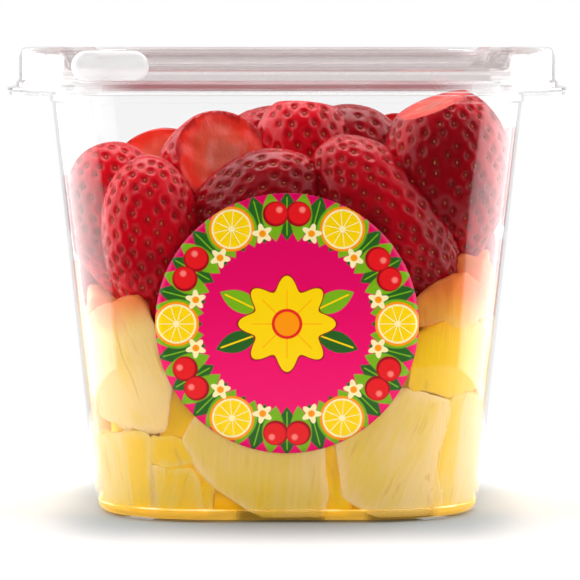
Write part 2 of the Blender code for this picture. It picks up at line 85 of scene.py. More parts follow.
def make_world():
    """White to the camera, and of a brightness that changes by direction to all that it lights."""
    world = bpy.data.worlds.new("white room")
    world.use_nodes = True
    tree = world.node_tree
    tree.nodes.clear()
    seen, lit = (tree.nodes.new("ShaderNodeBackground") for _ in range(2))
    for background in (seen, lit):
        background.inputs["Color"].default_value = (1, 1, 1, 1)
    place = tree.nodes.new("ShaderNodeTexCoord")
    split = tree.nodes.new("ShaderNodeSeparateXYZ")
    share = tree.nodes.new("ShaderNodeMapRange")
    share.inputs["From Min"].default_value = -1
    ramp = tree.nodes.new("ShaderNodeValToRGB")
    ramp.color_ramp.interpolation = "EASE"
    while len(ramp.color_ramp.elements) < len(ROOM):
        ramp.color_ramp.elements.new(0.5)
    for stop, (where, strength) in zip(ramp.color_ramp.elements, ROOM):
        stop.position = where
        stop.color = (strength, strength, strength, 1)
    tree.links.new(place.outputs["Generated"], split.inputs[0])
    tree.links.new(split.outputs["Y"], share.inputs["Value"])
    tree.links.new(share.outputs["Result"], ramp.inputs["Fac"])
    tree.links.new(ramp.outputs["Color"], lit.inputs["Strength"])
    path = tree.nodes.new("ShaderNodeLightPath")
    mix = tree.nodes.new("ShaderNodeMixShader")
    out = tree.nodes.new("ShaderNodeOutputWorld")
    tree.links.new(path.outputs["Is Camera Ray"], mix.inputs[0])
    tree.links.new(lit.outputs[0], mix.inputs[1])
    tree.links.new(seen.outputs[0], mix.inputs[2])
    tree.links.new(mix.outputs[0], out.inputs["Surface"])
    bpy.context.scene.world = world
    bpy.context.scene.view_settings.view_transform = "Standard"


def softbox(name, place, aim, width, height, watts, mirrored=True):
    lamp = bpy.data.lights.new(name, "AREA")
    lamp.shape = "RECTANGLE"
    lamp.size, lamp.size_y = width, height
    lamp.energy = watts
    obj = bpy.data.objects.new(name, lamp)
    obj.location = place
    obj.visible_glossy = mirrored
    obj.rotation_euler = (Vector(aim) - Vector(place)).to_track_quat("-Z", "Y").to_euler()
    bpy.context.scene.collection.objects.link(obj)


make_world()
CUP_MIDDLE = (0, 0, 0.055)
for side in (-1, 1):
    softbox("side softbox", (side * 0.59, 0.11, 0.3), CUP_MIDDLE, 1.15, 1.1, 11.2)
softbox("top softbox", (0, 0.3, 0.9), CUP_MIDDLE, 0.6, 0.6, 6)
softbox("front fill", (0.1, -1.6, 0.3), CUP_MIDDLE, 0.9, 0.5, 10, mirrored=False)

sweep = bmesh.new()
bmesh.ops.create_circle(sweep, cap_ends=True, segments=64, radius=FLOOR_RADIUS)
sweep_mesh = bpy.data.meshes.new("floor")
sweep.to_mesh(sweep_mesh)
sweep.free()
floor = bpy.data.objects.new("floor", sweep_mesh)
bpy.context.scene.collection.objects.link(floor)
print("softboxes and floor ready")

# %% [markdown]
# Each finish below is written as a sum: `Wire` wraps a socket, and an operator on it adds the Math
# node that does the same. `Finish` holds one material's node tree and adds any other node.


# %% Socket maths
class Wire:
    """A socket that Python's operators work on."""

    def __init__(self, finish, socket):
        self.finish = finish
        self.socket = socket

    def __add__(self, other):
        return self.finish.math("ADD", self, other)

    def __radd__(self, other):
        return self.finish.math("ADD", other, self)

    def __sub__(self, other):
        return self.finish.math("SUBTRACT", self, other)

    def __rsub__(self, other):
        return self.finish.math("SUBTRACT", other, self)

    def __mul__(self, other):
        return self.finish.math("MULTIPLY", self, other)

    def __rmul__(self, other):
        return self.finish.math("MULTIPLY", other, self)

    def __truediv__(self, other):
        return self.finish.math("DIVIDE", self, other)

    def __pow__(self, other):
        return self.finish.math("POWER", self, other)

    def __mod__(self, other):
        return self.finish.math("FLOORED_MODULO", self, other)

    def __abs__(self):
        return self.finish.math("ABSOLUTE", self)

    def rise(self, low, high):
        """0 below low, 1 above high, with a smooth step between."""
        made = self.finish.node("MapRange", {"Value": self, "From Min": low, "From Max": high},
                                interpolation_type="SMOOTHSTEP")
        return Wire(self.finish, made.outputs["Result"])

    def under(self, edge, soft):
        """1 where the value is below the edge, 0 above it, with a soft border."""
        return 1 - self.rise(edge - soft, edge + soft)


class Finish:
    """One material. Its Principled shader takes constants as set here, and wires through feed."""

    def __init__(self, name, **constants):
        self.material = bpy.data.materials.new(name)
        self.material.use_nodes = True
        self.tree = self.material.node_tree
        self.shader = self.tree.nodes["Principled BSDF"]
        self.shader.subsurface_method = "BURLEY"
        for socket, value in constants.items():
            self.shader.inputs[socket.replace("_", " ")].default_value = value

    def plug(self, value, socket):
        if isinstance(value, Wire):
            self.tree.links.new(value.socket, socket)
        elif hasattr(value, "links"):
            self.tree.links.new(value, socket)
        else:
            socket.default_value = value

    def node(self, kind, inputs=(), **settings):
        made = self.tree.nodes.new("ShaderNode" + kind)
        for setting, value in settings.items():
            setattr(made, setting, value)
        for socket, value in dict(inputs).items():
            self.plug(value, made.inputs[socket])
        return made

    def math(self, operation, first, second=0.0):
        return Wire(self, self.node("Math", {0: first, 1: second}, operation=operation).outputs[0])

    def blend(self, share, first, second):
        """One colour where share is 0 and the other where it is 1."""
        made = self.node("Mix", {0: share, 6: first, 7: second}, data_type="RGBA")
        return Wire(self, made.outputs[2])

    def attribute(self, name):
        return self.node("Attribute", attribute_name=name)

    def value_of(self, name):
        return Wire(self, self.attribute(name).outputs["Fac"])

    def cloud(self, place, scale, detail=2.0):
        made = self.node("TexNoise", {"Vector": place, "Scale": scale, "Detail": detail})
        return Wire(self, made.outputs[0])

    def stretched(self, place, scale):
        return self.node("Mapping", {"Vector": place, "Scale": scale}).outputs[0]

    def object_place(self):
        return self.node("TexCoord").outputs["Object"]

    def along(self, axis):
        """How far a point lies along an axis, in millimetres."""
        return Wire(self, self.node("SeparateXYZ", {"Vector": self.object_place()}).outputs[axis]) / MM

    def facing(self):
        """0 where the surface faces the eye, 1 where it is seen edge on."""
        return Wire(self, self.node("LayerWeight", {"Blend": 0.5}).outputs["Facing"])

    def see_through(self, cover, tint):
        """Shows what lies behind, through a tint, as far as the cover stays below 1."""
        clear = self.node("BsdfTransparent", {"Color": tint})
        mixed = self.node("MixShader", {0: cover, 1: clear.outputs[0], 2: self.shader.outputs[0]})
        self.tree.links.new(mixed.outputs[0], self.tree.nodes["Material Output"].inputs["Surface"])

    def feed(self, socket, wire):
        self.plug(wire, self.shader.inputs[socket])

    def bump(self, height, strength, distance):
        made = self.node("Bump", {"Height": height, "Strength": strength, "Distance": distance})
        self.tree.links.new(made.outputs[0], self.shader.inputs["Normal"])


def paint(red, green, blue):
    """A colour as seen on screen, 0 to 255, as the linear values that shaders take."""
    shares = [channel / 255 for channel in (red, green, blue)]
    linear = [((share + 0.055) / 1.055) ** 2.4 if share > 0.04045 else share / 12.92 for share in shares]
    return (*linear, 1.0)


# %% [markdown]
# The white board under the cup has a painted shadow: round the foot it is painted a little darker,
# and cooler against the warm tint it takes from the fruit above, out to where the cup's soft shadow ends.

# %% White board with a painted shadow
# half sizes in millimetres of the oblong that the painted shadow is measured from, how much sooner
# it ends at the sides, and how far past the oblong it starts to fade and is gone
SHADE_HALF_X, SHADE_HALF_Y, SHADE_NARROWING = 38, 30, 2.6
SHADE_START, SHADE_END = 14, 64
BOARD_SHADED, BOARD_LIT = (0.385, 0.42, 0.45, 1), (0.68, 0.68, 0.68, 1)


def board_with_painted_shadow():
    finish = Finish("white board", Roughness=0.9, Specular_IOR_Level=0.1)
    past_x = finish.math("MAXIMUM", abs(finish.along("X")) - SHADE_HALF_X, 0) * SHADE_NARROWING
    past_y = finish.math("MAXIMUM", abs(finish.along("Y")) - SHADE_HALF_Y, 0)
    away = (past_x * past_x + past_y * past_y) ** 0.5
    # painted shadow: the board is darker and cooler near the cup, and plain white further out
    finish.feed("Base Color", finish.blend(away.rise(SHADE_START, SHADE_END), BOARD_SHADED, BOARD_LIT))
    return finish


sweep_mesh.materials.append(board_with_painted_shadow().material)
print("in front, the shade is gone", SHADE_HALF_Y + SHADE_END, "mm from the cup's middle")

# %% [markdown]
# The tub and lid are pressed from one thin clear sheet. Seen straight on, such a sheet hides almost
# nothing. Seen along its surface it turns milky and bright, and that is what draws its outline. So
# the surface is see-through in the middle and mixes towards a glossy pale shader as it turns away.

# %% Clear plastic
LID_TINT = (0.982, 0.964, 0.964, 1)
# heights in millimetres over which the wet foot ends, and how much of the haze it keeps
WET_HEIGHT, DRY_HEIGHT, WET_SHARE = 2, 7, 0.3


def clear_plastic(name, haze, tint, roughness=0.04, metal=1.0, slant=0.34, grazing=0.6, painted_glow=0.0):
    """haze covers the whole sheet, slant what turns away from the eye, and grazing its outline. The last
    argument is a painted glow.
    """
    finish = Finish(name, Base_Color=paint(250, 250, 250), Roughness=roughness, Metallic=metal,
                    Emission_Color=(1, 1, 1, 1), Emission_Strength=painted_glow)
    facing = finish.facing()
    cover = haze + slant * facing ** 2.0 + grazing * facing ** 8.0
    # wet fruit lies on the foot's inside, so the foot mirrors less than the rest
    dry = WET_SHARE + (1 - WET_SHARE) * finish.along("Z").rise(WET_HEIGHT, DRY_HEIGHT)
    finish.see_through(cover * dry, tint)
    return finish


TUB_PLASTIC = clear_plastic("clear tub plastic", 0.011, (0.985, 0.985, 0.987, 1))
LID_PLASTIC = clear_plastic("clear lid plastic", 0.09, LID_TINT)
PANEL_PLASTIC = clear_plastic("lid panel plastic", 0.015, LID_TINT, slant=0.03, grazing=0.25)
# the frosted pad has a faint painted glow, so that it reads bright and white
FROSTED = clear_plastic("frosted pad", 0.5, (0.99, 0.985, 0.985, 1), 0.4, 0.0, painted_glow=0.2)

# %% [markdown]
# The red fruit throws its light up into the lid, and the plastic's tight bends catch it: the bead at
# the front, the step down to the panel, and the rim. It shows as a dull pink that is uneven from
# place to place, so that light is painted onto those faces as a tinted finish of their own, stronger
# in the middle of the front than at its corners.

# %% Plastic that catches the fruit's light
# half width of the lit stretch and its soft end, and the heights that part the bead from the rim
LIT_HALF, LIT_SOFT = 40, 9
BEAD_BELOW, BEAD_SOFT = 106, 0.6
RIM_FROM, RIM_FULL = 110.2, 111.2
# painted reflected light of the red fruit: pink on the bead, grey on the rim
BEAD_PAINTED_PINK, RIM_PAINTED_GREY = paint(178, 96, 102), paint(150, 132, 132)


def fruit_lit_plastic():
    """For the lid's rim, front bead and front step, where light from the red fruit is caught, painted on.
    """
    finish = Finish("fruit lit plastic", Roughness=0.3, Specular_IOR_Level=0.3)
    middle = abs(finish.along("X")).under(LIT_HALF, LIT_SOFT)
    height = finish.along("Z")
    low, top = height.under(BEAD_BELOW, BEAD_SOFT), height.rise(RIM_FROM, RIM_FULL)
    patches = finish.cloud(finish.stretched(finish.object_place(), (1.0, 1.0, 4.0)), 70.0)
    finish.feed("Base Color", finish.blend(low, RIM_PAINTED_GREY, BEAD_PAINTED_PINK))
    caught = middle * (0.09 + 0.47 * low + 0.15 * top) * (0.6 + 0.8 * patches)
    finish.see_through(0.05 + caught, (0.98, 0.96, 0.96, 1))
    return finish


FRUIT_LIT = fruit_lit_plastic()
print("five plastics ready")

# %% [markdown]
# Every wall of the tub and lid is a square with round corners at some height, so one formula draws
# all of them. A flat grid is then bent through a list of such outlines, one row to each, and its
# seam is welded. That gives clean quads all round, which is what a glossy surface needs.

# %% Outlines and the bent grid
BASE_HALF, BASE_RADIUS, BASE_ROUNDING = 46.3 * MM, 27.0 * MM, 2.7 * MM
MOUTH_HALF, MOUTH_RADIUS, MOUTH_Z = 55.8 * MM, 20.0 * MM, 99.4 * MM
WALL = 0.7 * MM
CORNER_STEPS = 24
FRONT_LEFT, FRONT_RIGHT = 2, 3


def smooth_step(low, high, value):
    """0 at low, 1 at high, and a smooth step between them."""
    share = min(1.0, max(0.0, (value - low) / (high - low)))
    return share * share * (3 - 2 * share)


def wall_share(z):
    return (z - BASE_ROUNDING) / (MOUTH_Z - BASE_ROUNDING)


def tub_half(z):
    """Half width of the tub's tapered wall, outside, at a height."""
    return BASE_HALF + wall_share(z) * (MOUTH_HALF - BASE_HALF)


def tub_radius(z):
    return BASE_RADIUS + wall_share(z) * (MOUTH_RADIUS - BASE_RADIUS)


def foot_inset(z):
    """How far the round lower edge, inside, stands back from the wall's line at a height."""
    reach = BASE_ROUNDING - WALL
    below = min(reach, max(0.0, BASE_ROUNDING - z))
    return reach - math.sqrt(reach * reach - below * below)


def outline(half, radius, z, lift=None):
    """Points round a square with round corners. lift raises a point by its corner and turn, 0 to 1."""
    points = []
    for corner in range(4):
        start = corner * math.pi / 2
        diagonal = start + math.pi / 4
        for step in range(CORNER_STEPS + 1):
            turn = step / CORNER_STEPS
            angle = start + turn * math.pi / 2
            x = (half - radius) * math.copysign(1, math.cos(diagonal)) + radius * math.cos(angle)
            y = (half - radius) * math.copysign(1, math.sin(diagonal)) + radius * math.sin(angle)
            points.append(Vector((x, y, z + (lift(corner, turn) if lift else 0))))
    return points


def wall_outline(z, offset):
    return outline(tub_half(z) + offset, tub_radius(z) + offset, z)


def bent_grid(outlines):
    """Bends a grid through the outlines, and closes its seam and both its ends."""
    columns, rows = len(outlines[0]), len(outlines) - 1
    bm = bmesh.new()
    bmesh.ops.create_grid(bm, x_segments=columns, y_segments=rows, size=0.5)
    for vert in bm.verts:
        column, row = round((vert.co.x + 0.5) * columns), round((vert.co.y + 0.5) * rows)
        vert.co = outlines[row][column % columns]
    bmesh.ops.remove_doubles(bm, verts=bm.verts, dist=MERGE)
    rims = [edge for edge in bm.edges if edge.is_boundary]
    bmesh.ops.holes_fill(bm, edges=rims, sides=columns)
    bmesh.ops.recalc_face_normals(bm, faces=bm.faces)
    return bm


print("an outline has", len(wall_outline(MOUTH_Z, 0)), "points")

# %% [markdown]
# Every finished mesh becomes an object in the same way: it gets its finishes and smooth shading, it
# rides on the cup, and it stands for the node whose place it takes. The pressed plastic also has
# its sharp bends rounded by a Bevel modifier, because a real sheet has no knife edge.

# %% Finished pieces
EDGE_ROUNDING, SHARP_ANGLE = 0.2 * MM, 28


def piece(name, bm, finishes, node):
    """Makes the object, lets it ride on the cup and stand for its node."""
    mesh = bpy.data.meshes.new(name)
    bm.to_mesh(mesh)
    bm.free()
    return dressed(name, mesh, finishes, node)


def dressed(name, mesh, finishes, node):
    obj = bpy.data.objects.new(name, mesh)
    bpy.context.scene.collection.objects.link(obj)
    for finish in finishes:
        mesh.materials.append(finish.material)
    mesh.shade_smooth()
    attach(obj, "root")
    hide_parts(node)
    mesh.calc_loop_triangles()
    print(name, "has", len(mesh.loop_triangles), "triangles")
    return obj


def round_edges(obj):
    bevel = obj.modifiers.new("rounded edges", "BEVEL")
    bevel.width = EDGE_ROUNDING
    bevel.segments = 2
    bevel.limit_method = "ANGLE"
    bevel.angle_limit = math.radians(SHARP_ANGLE)
    bevel.harden_normals = True


# %% [markdown]
# The tub's profile runs from the raised middle of its base, out over the foot, up the tapered wall
# to the flange, and back down inside at the thickness of the sheet. The foot touches down at its
# four round corners and arches by a hair between them, as pressed tubs do.

# %% Tub
PUSH_UP, PUSH_UP_HALF, PUSH_UP_SLOPE = 1.2 * MM, 37.5 * MM, 1.5 * MM
PUSH_UP_RADIUS, FOOT_INNER = BASE_RADIUS - 8 * MM, PUSH_UP_HALF + PUSH_UP_SLOPE
FOOT_ARCH, FOOT_PAD = 0.2 * MM, 0.13
STEP_OUT = 0.5 * MM
TUB_FLANGE_HALF, FLANGE_RADIUS = 65.6 * MM, 23.0 * MM
TUB_FLANGE_UNDER, TUB_FLANGE_TOP = 101.5 * MM, 102.2 * MM
FOOT_STEPS = 8


def foot_lift(corner, turn):
    return 0.0 if abs(turn - 0.5) < FOOT_PAD else FOOT_ARCH


def foot_curve(inset, lift=None):
    """Outlines of the round lower edge, from the foot up to the wall, moved in by the inset."""
    made = []
    reach = BASE_ROUNDING - inset
    for step in range(FOOT_STEPS + 1):
        angle = math.pi / 2 * step / FOOT_STEPS
        out = reach * math.sin(angle)
        z = BASE_ROUNDING - reach * math.cos(angle)
        half, radius = BASE_HALF - BASE_ROUNDING + out, BASE_RADIUS - BASE_ROUNDING + out
        made.append(outline(half, radius, z, lift if step == 0 else None))
    return made


def make_tub():
    neck = MOUTH_HALF + STEP_OUT
    rows = [outline(PUSH_UP_HALF, PUSH_UP_RADIUS, PUSH_UP)]
    rows += [outline(FOOT_INNER, PUSH_UP_RADIUS, 0, foot_lift)]
    rows += foot_curve(0, foot_lift)
    rows += [wall_outline(MOUTH_Z, 0), outline(neck, MOUTH_RADIUS, MOUTH_Z + STEP_OUT)]
    rows += [outline(neck, MOUTH_RADIUS, TUB_FLANGE_UNDER)]
    rows += [outline(TUB_FLANGE_HALF, FLANGE_RADIUS, z) for z in (TUB_FLANGE_UNDER, TUB_FLANGE_TOP)]
    rows += [outline(neck - WALL, MOUTH_RADIUS - WALL, z) for z in (TUB_FLANGE_TOP, MOUTH_Z + STEP_OUT)]
    rows += [wall_outline(MOUTH_Z, -WALL)]
    rows += foot_curve(WALL)[::-1]
    rows += [outline(FOOT_INNER + WALL / 2, PUSH_UP_RADIUS, WALL)]
    rows += [outline(PUSH_UP_HALF + WALL / 2, PUSH_UP_RADIUS, PUSH_UP + WALL)]
    round_edges(piece("clear_tub", bent_grid(rows), [TUB_PLASTIC], "tub"))


make_tub()

# %% [markdown]
# The lid clips over the flange. Its top is a sunken panel inside a raised rim, and at both front
# corners the rim rises in two lugs with a notch between, to grip when the lid is pulled open.

# %% Lid
LIP_HALF, LIP_UNDER, LIP_TOP = 66.0 * MM, 102.55 * MM, 103.2 * MM
SKIRT_HALF, SKIRT_RADIUS = 63.3 * MM, 22.0 * MM
SKIRT_BEAD, SKIRT_BEAD_TOP = 0.7 * MM, 104.3 * MM
BEAD_DROP_INSIDE, BEAD_RISE_INSIDE = 0.2 * MM, 0.6 * MM
RIM_TOP, RIM_ROUNDING, RIM_INNER_HALF = 111.5 * MM, 1.4 * MM, 53.2 * MM
PANEL_HALF, PANEL_TOP = 51.6 * MM, 107.6 * MM
PANEL_STEP, PANEL_STEP_WIDTH, PANEL_CORNER = 0.6 * MM, 1.2 * MM, 1 * MM
INNER_CORNER_INSET, RIM_SLOPE = 10.0 * MM, 0.5 * MM
LID_WALL = 0.65 * MM
LUG_RISE, LUG_FOOT = 1.2 * MM, 3.2 * MM
LUG_START, LUG_SLOPE = 0.13, 0.03
NOTCH_TURN, NOTCH_HALF, NOTCH_SLOPE = 0.41, 0.05, 0.03
RIM_STEPS = 6


def lug_lift(corner, turn):
    """Raises the rim at the front corners, but not at their ends or in the notch between the lugs."""
    if corner not in (FRONT_LEFT, FRONT_RIGHT):
        return 0.0
    from_front = 1 - turn if corner == FRONT_LEFT else turn
    ends = smooth_step(LUG_START - LUG_SLOPE, LUG_START + LUG_SLOPE, min(turn, 1 - turn))
    notch = smooth_step(NOTCH_HALF, NOTCH_HALF + NOTCH_SLOPE, abs(from_front - NOTCH_TURN))
    return LUG_RISE * ends * notch


def lid_top(offset):
    """Outlines of one skin of the lid, from the sunken panel out, over the rim and down the skirt."""
    corner = SKIRT_RADIUS + offset
    inner = corner - INNER_CORNER_INSET
    rim = RIM_TOP + offset
    made = [
        outline(PANEL_HALF - PANEL_STEP_WIDTH - offset, inner - PANEL_CORNER, PANEL_TOP + offset),
        outline(PANEL_HALF - offset, inner, PANEL_TOP + PANEL_STEP + offset),
        outline(RIM_INNER_HALF - RIM_SLOPE - offset, inner, rim - PANEL_STEP, lug_lift),
        outline(RIM_INNER_HALF + PANEL_STEP, inner, rim, lug_lift),
    ]
    for step in range(RIM_STEPS + 1):
        angle = math.pi / 2 * step / RIM_STEPS
        inset = RIM_ROUNDING * (1 - math.sin(angle))
        drop = RIM_ROUNDING * (1 - math.cos(angle))
        made.append(outline(SKIRT_HALF - inset + offset, corner - inset, rim - drop, lug_lift))
    made.append(outline(SKIRT_HALF + offset, corner, RIM_TOP - LUG_FOOT))
    return made


def make_lid():
    bead_half, bead_radius = SKIRT_HALF + SKIRT_BEAD, SKIRT_RADIUS + SKIRT_BEAD
    rows = lid_top(0)
    rows += [outline(SKIRT_HALF, SKIRT_RADIUS, SKIRT_BEAD_TOP + SKIRT_BEAD)]
    rows += [outline(bead_half, bead_radius, z) for z in (SKIRT_BEAD_TOP, LIP_TOP)]
    rows += [outline(LIP_HALF, FLANGE_RADIUS, z) for z in (LIP_TOP, LIP_UNDER)]
    rows += [outline(bead_half - LID_WALL, SKIRT_RADIUS, z)
             for z in (LIP_UNDER, SKIRT_BEAD_TOP - BEAD_DROP_INSIDE)]
    rows += [outline(SKIRT_HALF - LID_WALL, SKIRT_RADIUS - LID_WALL, SKIRT_BEAD_TOP + BEAD_RISE_INSIDE)]
    rows += lid_top(-LID_WALL)[::-1]
    bm = bent_grid(rows)
    for face in bm.faces:
        middle = face.calc_center_median()
        on_bead = middle.y < -SKIRT_HALF and LIP_TOP < middle.z < SKIRT_BEAD_TOP + SKIRT_BEAD
        on_step = -PANEL_HALF < middle.y < PANEL_STEP_WIDTH - PANEL_HALF
        on_rim = abs(middle.y) > RIM_INNER_HALF and middle.z > RIM_TOP - RIM_ROUNDING
        if on_bead or on_step or on_rim:
            face.material_index = 1
        elif max(abs(middle.x), abs(middle.y)) < PANEL_HALF:
            face.material_index = 2
    round_edges(piece("clear_lid", bm, [LID_PLASTIC, FRUIT_LIT, PANEL_PLASTIC], "lid"))


make_lid()

# %% [markdown]
# On the lid's front, left of the middle, is an oval press pad with a frosted face. It is a disc
# made by spinning a spoke, pulled long, laid on the skirt and given a raised rim by its rings.


# %% Press pad
def spun_disc(rings, spokes):
    """A disc of radius 1 that stands across X and Z, as a web of rings and spokes."""
    bm = bmesh.new()
    verts = [bm.verts.new((step / rings, 0, 0)) for step in range(rings + 1)]
    edges = [bm.edges.new(pair) for pair in zip(verts, verts[1:])]
    bmesh.ops.spin(bm, geom=verts + edges, cent=(0, 0, 0), axis=(0, 1, 0), angle=2 * math.pi,
                   steps=spokes, use_merge=True)
    bmesh.ops.remove_doubles(bm, verts=bm.verts, dist=MERGE)
    return bm


def face_forward(bm):
    """Turns every face towards -Y."""
    bm.normal_update()
    bmesh.ops.reverse_faces(bm, faces=[face for face in bm.faces if face.normal.y > 0])


def front_depth(x, half, radius):
    """How far forward a round-cornered wall stands at a distance from its middle."""
    past = max(0.0, abs(x) - (half - radius))
    return half - radius + math.sqrt(max(0.0, radius * radius - past * past))


PAD_X, PAD_Z, PAD_LENGTH, PAD_HEIGHT = -41.0 * MM, 108.3 * MM, 18.0 * MM, 7.2 * MM
PAD_RINGS, PAD_SPOKES = 12, 50
PAD_PROUD, PAD_SHEET = 0.45 * MM, 0.15 * MM
# shares of the pad's radius, and how high its field stands against its ridge
RIDGE_AT, RIDGE_WIDTH, PAD_SHOULDER, PAD_END = 0.86, 0.07, 0.9, 1.02
PAD_FIELD = 0.35


def make_pad():
    bm = spun_disc(PAD_RINGS, PAD_SPOKES)
    reach = PAD_LENGTH / 2 - PAD_HEIGHT / 2
    for vert in bm.verts:
        ring = math.hypot(vert.co.x, vert.co.z)
        ridge = math.exp(-((ring - RIDGE_AT) / RIDGE_WIDTH) ** 2)
        raised = PAD_FIELD + (1 - PAD_FIELD) * ridge
        proud = PAD_PROUD * raised * smooth_step(PAD_END, PAD_SHOULDER, ring)
        pulled = math.copysign(reach * ring, vert.co.x) if ring else 0.0
        x = PAD_X + vert.co.x * PAD_HEIGHT / 2 + pulled
        z = PAD_Z + vert.co.z * PAD_HEIGHT / 2
        vert.co = (x, -front_depth(x, SKIRT_HALF, SKIRT_RADIUS) - proud, z)
    face_forward(bm)
    bmesh.ops.solidify(bm, geom=bm.faces[:], thickness=PAD_SHEET)
    piece("lid_press_pad", bm, [FROSTED], "lid")


make_pad()

# %% [markdown]
# The label is a thin paper disc that follows the front wall and turns a little way round its
# corners. It is the same spun disc, laid on the wall by formula. Each point keeps its place on the
# flat label as an attribute, in millimetres, and the print is drawn from that.

# %% Label disc
LABEL_RADIUS, LABEL_Z = 31.0 * MM, 47.7 * MM
LABEL_GAP, LABEL_THICK = 0.35 * MM, 0.3 * MM
LABEL_RINGS, LABEL_SPOKES = 16, 128


def make_label(finish):
    bm = spun_disc(LABEL_RINGS, LABEL_SPOKES)
    across, up = (bm.verts.layers.float.new(name) for name in ("print_across", "print_up"))
    lean = math.atan((tub_half(MOUTH_Z) - tub_half(BASE_ROUNDING)) / (MOUTH_Z - BASE_ROUNDING))
    for vert in bm.verts:
        vert[across], vert[up] = vert.co.x * LABEL_RADIUS / MM, vert.co.z * LABEL_RADIUS / MM
        x = vert.co.x * LABEL_RADIUS
        z = LABEL_Z + vert.co.z * LABEL_RADIUS * math.cos(lean)
        out = LABEL_GAP + LABEL_THICK
        vert.co = (x, -front_depth(x, tub_half(z) + out, tub_radius(z) + out), z)
    face_forward(bm)
    label = piece("label_disc", bm, [finish], "label")
    solid = label.modifiers.new("paper thickness", "SOLIDIFY")
    solid.thickness = LABEL_THICK
    solid.offset = -1


# %% [markdown]
# The print is a plain fruit-shop pattern in the colours of the real label: a magenta field, a big
# yellow blossom in the middle, and a border of citrus wheels, cherries, small blossoms and leaves.
# Each motif is drawn once, in a wedge that repeats round the disc.


# %% Layers of print
class Print:
    """Layers of flat colour on the label. Places are in millimetres from its middle."""

    def __init__(self, finish, ground):
        self.finish = finish
        self.colour = ground
        self.x = finish.value_of("print_across")
        self.y = finish.value_of("print_up")
        self.out = (self.x * self.x + self.y * self.y) ** 0.5
        self.angle = finish.math("ARCTAN2", self.y, self.x)

    def lay(self, mask, colour):
        self.colour = self.finish.blend(mask, self.colour, colour)

    def wedge(self, count, offset, distance):
        """Outward and sideways places, repeated count times round, from a point at a distance."""
        step = 2 * math.pi / count
        turned = (self.angle + (step / 2 - offset)) % step - step / 2
        outward = self.out * self.finish.math("COSINE", turned) - distance
        return outward, self.out * self.finish.math("SINE", turned)

    def radius(self, outward, sideways, shift=(0, 0)):
        a, b = outward - shift[0], sideways - shift[1]
        return (a * a + b * b) ** 0.5

    def petals(self, outward, sideways, count, size, depth):
        """A radius that shrinks and grows with the angle, so that its edge draws petals."""
        around = self.finish.math("ARCTAN2", sideways, outward)
        wave = self.finish.math("COSINE", around * count)
        return self.radius(outward, sideways) - wave * depth - size

    def leaf(self, outward, sideways, length, width):
        """Below 0 inside a pointed leaf."""
        return abs(sideways) / width + (outward / length) ** 2.0 - 1


LEAF_GREEN, LEAF_DARK = paint(120, 178, 22), paint(38, 96, 30)
SUN_YELLOW, SUN_DEEP = paint(255, 212, 0), paint(255, 150, 0)
CHERRY_RED, CHERRY_DARK = paint(232, 24, 30), paint(150, 6, 22)
PITH, BLUSH = paint(255, 238, 178), paint(255, 130, 120)
print("colours and layers for the print ready")

# %% [markdown]
# A motif's edge is a little soft, as ink is, so every shape is a distance that fades over a short
# stretch. Later layers lie on earlier ones, so leaves come first and fruit on top of them.

# %% Label print
EDGE = 0.12
# how often each motif of the border repeats, and its distance from the label's middle
LEAVES, LEAF_RING = 24, 25.6
WHEELS, WHEEL_RING = 6, 26.0
CHERRY_PAIRS, CHERRY_RING, CHERRY_ASIDE = 6, 26.6, 2.7
BLOSSOMS, BLOSSOM_RING = 12, 22.2
PEEL, PITH_EDGE, PULP, HUB = 5.3, 4.7, 4.25, 0.7


def print_border(art):
    for offset, green in ((0.0, LEAF_DARK), (math.pi / LEAVES, LEAF_GREEN)):
        outward, sideways = art.wedge(LEAVES, offset, LEAF_RING)
        art.lay(art.leaf(outward, sideways, 5.8, 2.5).under(0, 0.1), green)
        art.lay(abs(sideways).under(0.16, 0.1) * abs(outward).under(4.6, 0.3), LEAF_GREEN)
    outward, sideways = art.wedge(WHEELS, 0.0, WHEEL_RING)
    wheel = art.radius(outward, sideways)
    around = art.finish.math("ARCTAN2", sideways, outward)
    spokes = abs(art.finish.math("SINE", around * 5.0)) * wheel
    art.lay(wheel.under(PEEL, EDGE), SUN_DEEP)
    art.lay(wheel.under(PITH_EDGE, EDGE), PITH)
    art.lay(wheel.under(PULP, EDGE) * (1 - spokes.under(0.45, 0.12)), SUN_YELLOW)
    art.lay(wheel.under(HUB, EDGE), PITH)
    outward, sideways = art.wedge(CHERRY_PAIRS, math.pi / CHERRY_PAIRS, CHERRY_RING)
    for middle in (-CHERRY_ASIDE, CHERRY_ASIDE):
        art.lay(art.radius(outward, sideways, (-0.5, middle)).under(3.0, EDGE), CHERRY_DARK)
        art.lay(art.radius(outward, sideways, (-0.3, middle - 0.2)).under(2.6, 0.3), CHERRY_RED)
        art.lay(art.radius(outward, sideways, (0.5, middle - 0.9)).under(0.7, 0.3), BLUSH)
    outward, sideways = art.wedge(BLOSSOMS, math.pi / BLOSSOMS, BLOSSOM_RING)
    art.lay(art.petals(outward, sideways, 5.0, 1.9, 0.55).under(0, EDGE), PITH)
    art.lay(art.radius(outward, sideways).under(0.8, EDGE), SUN_DEEP)


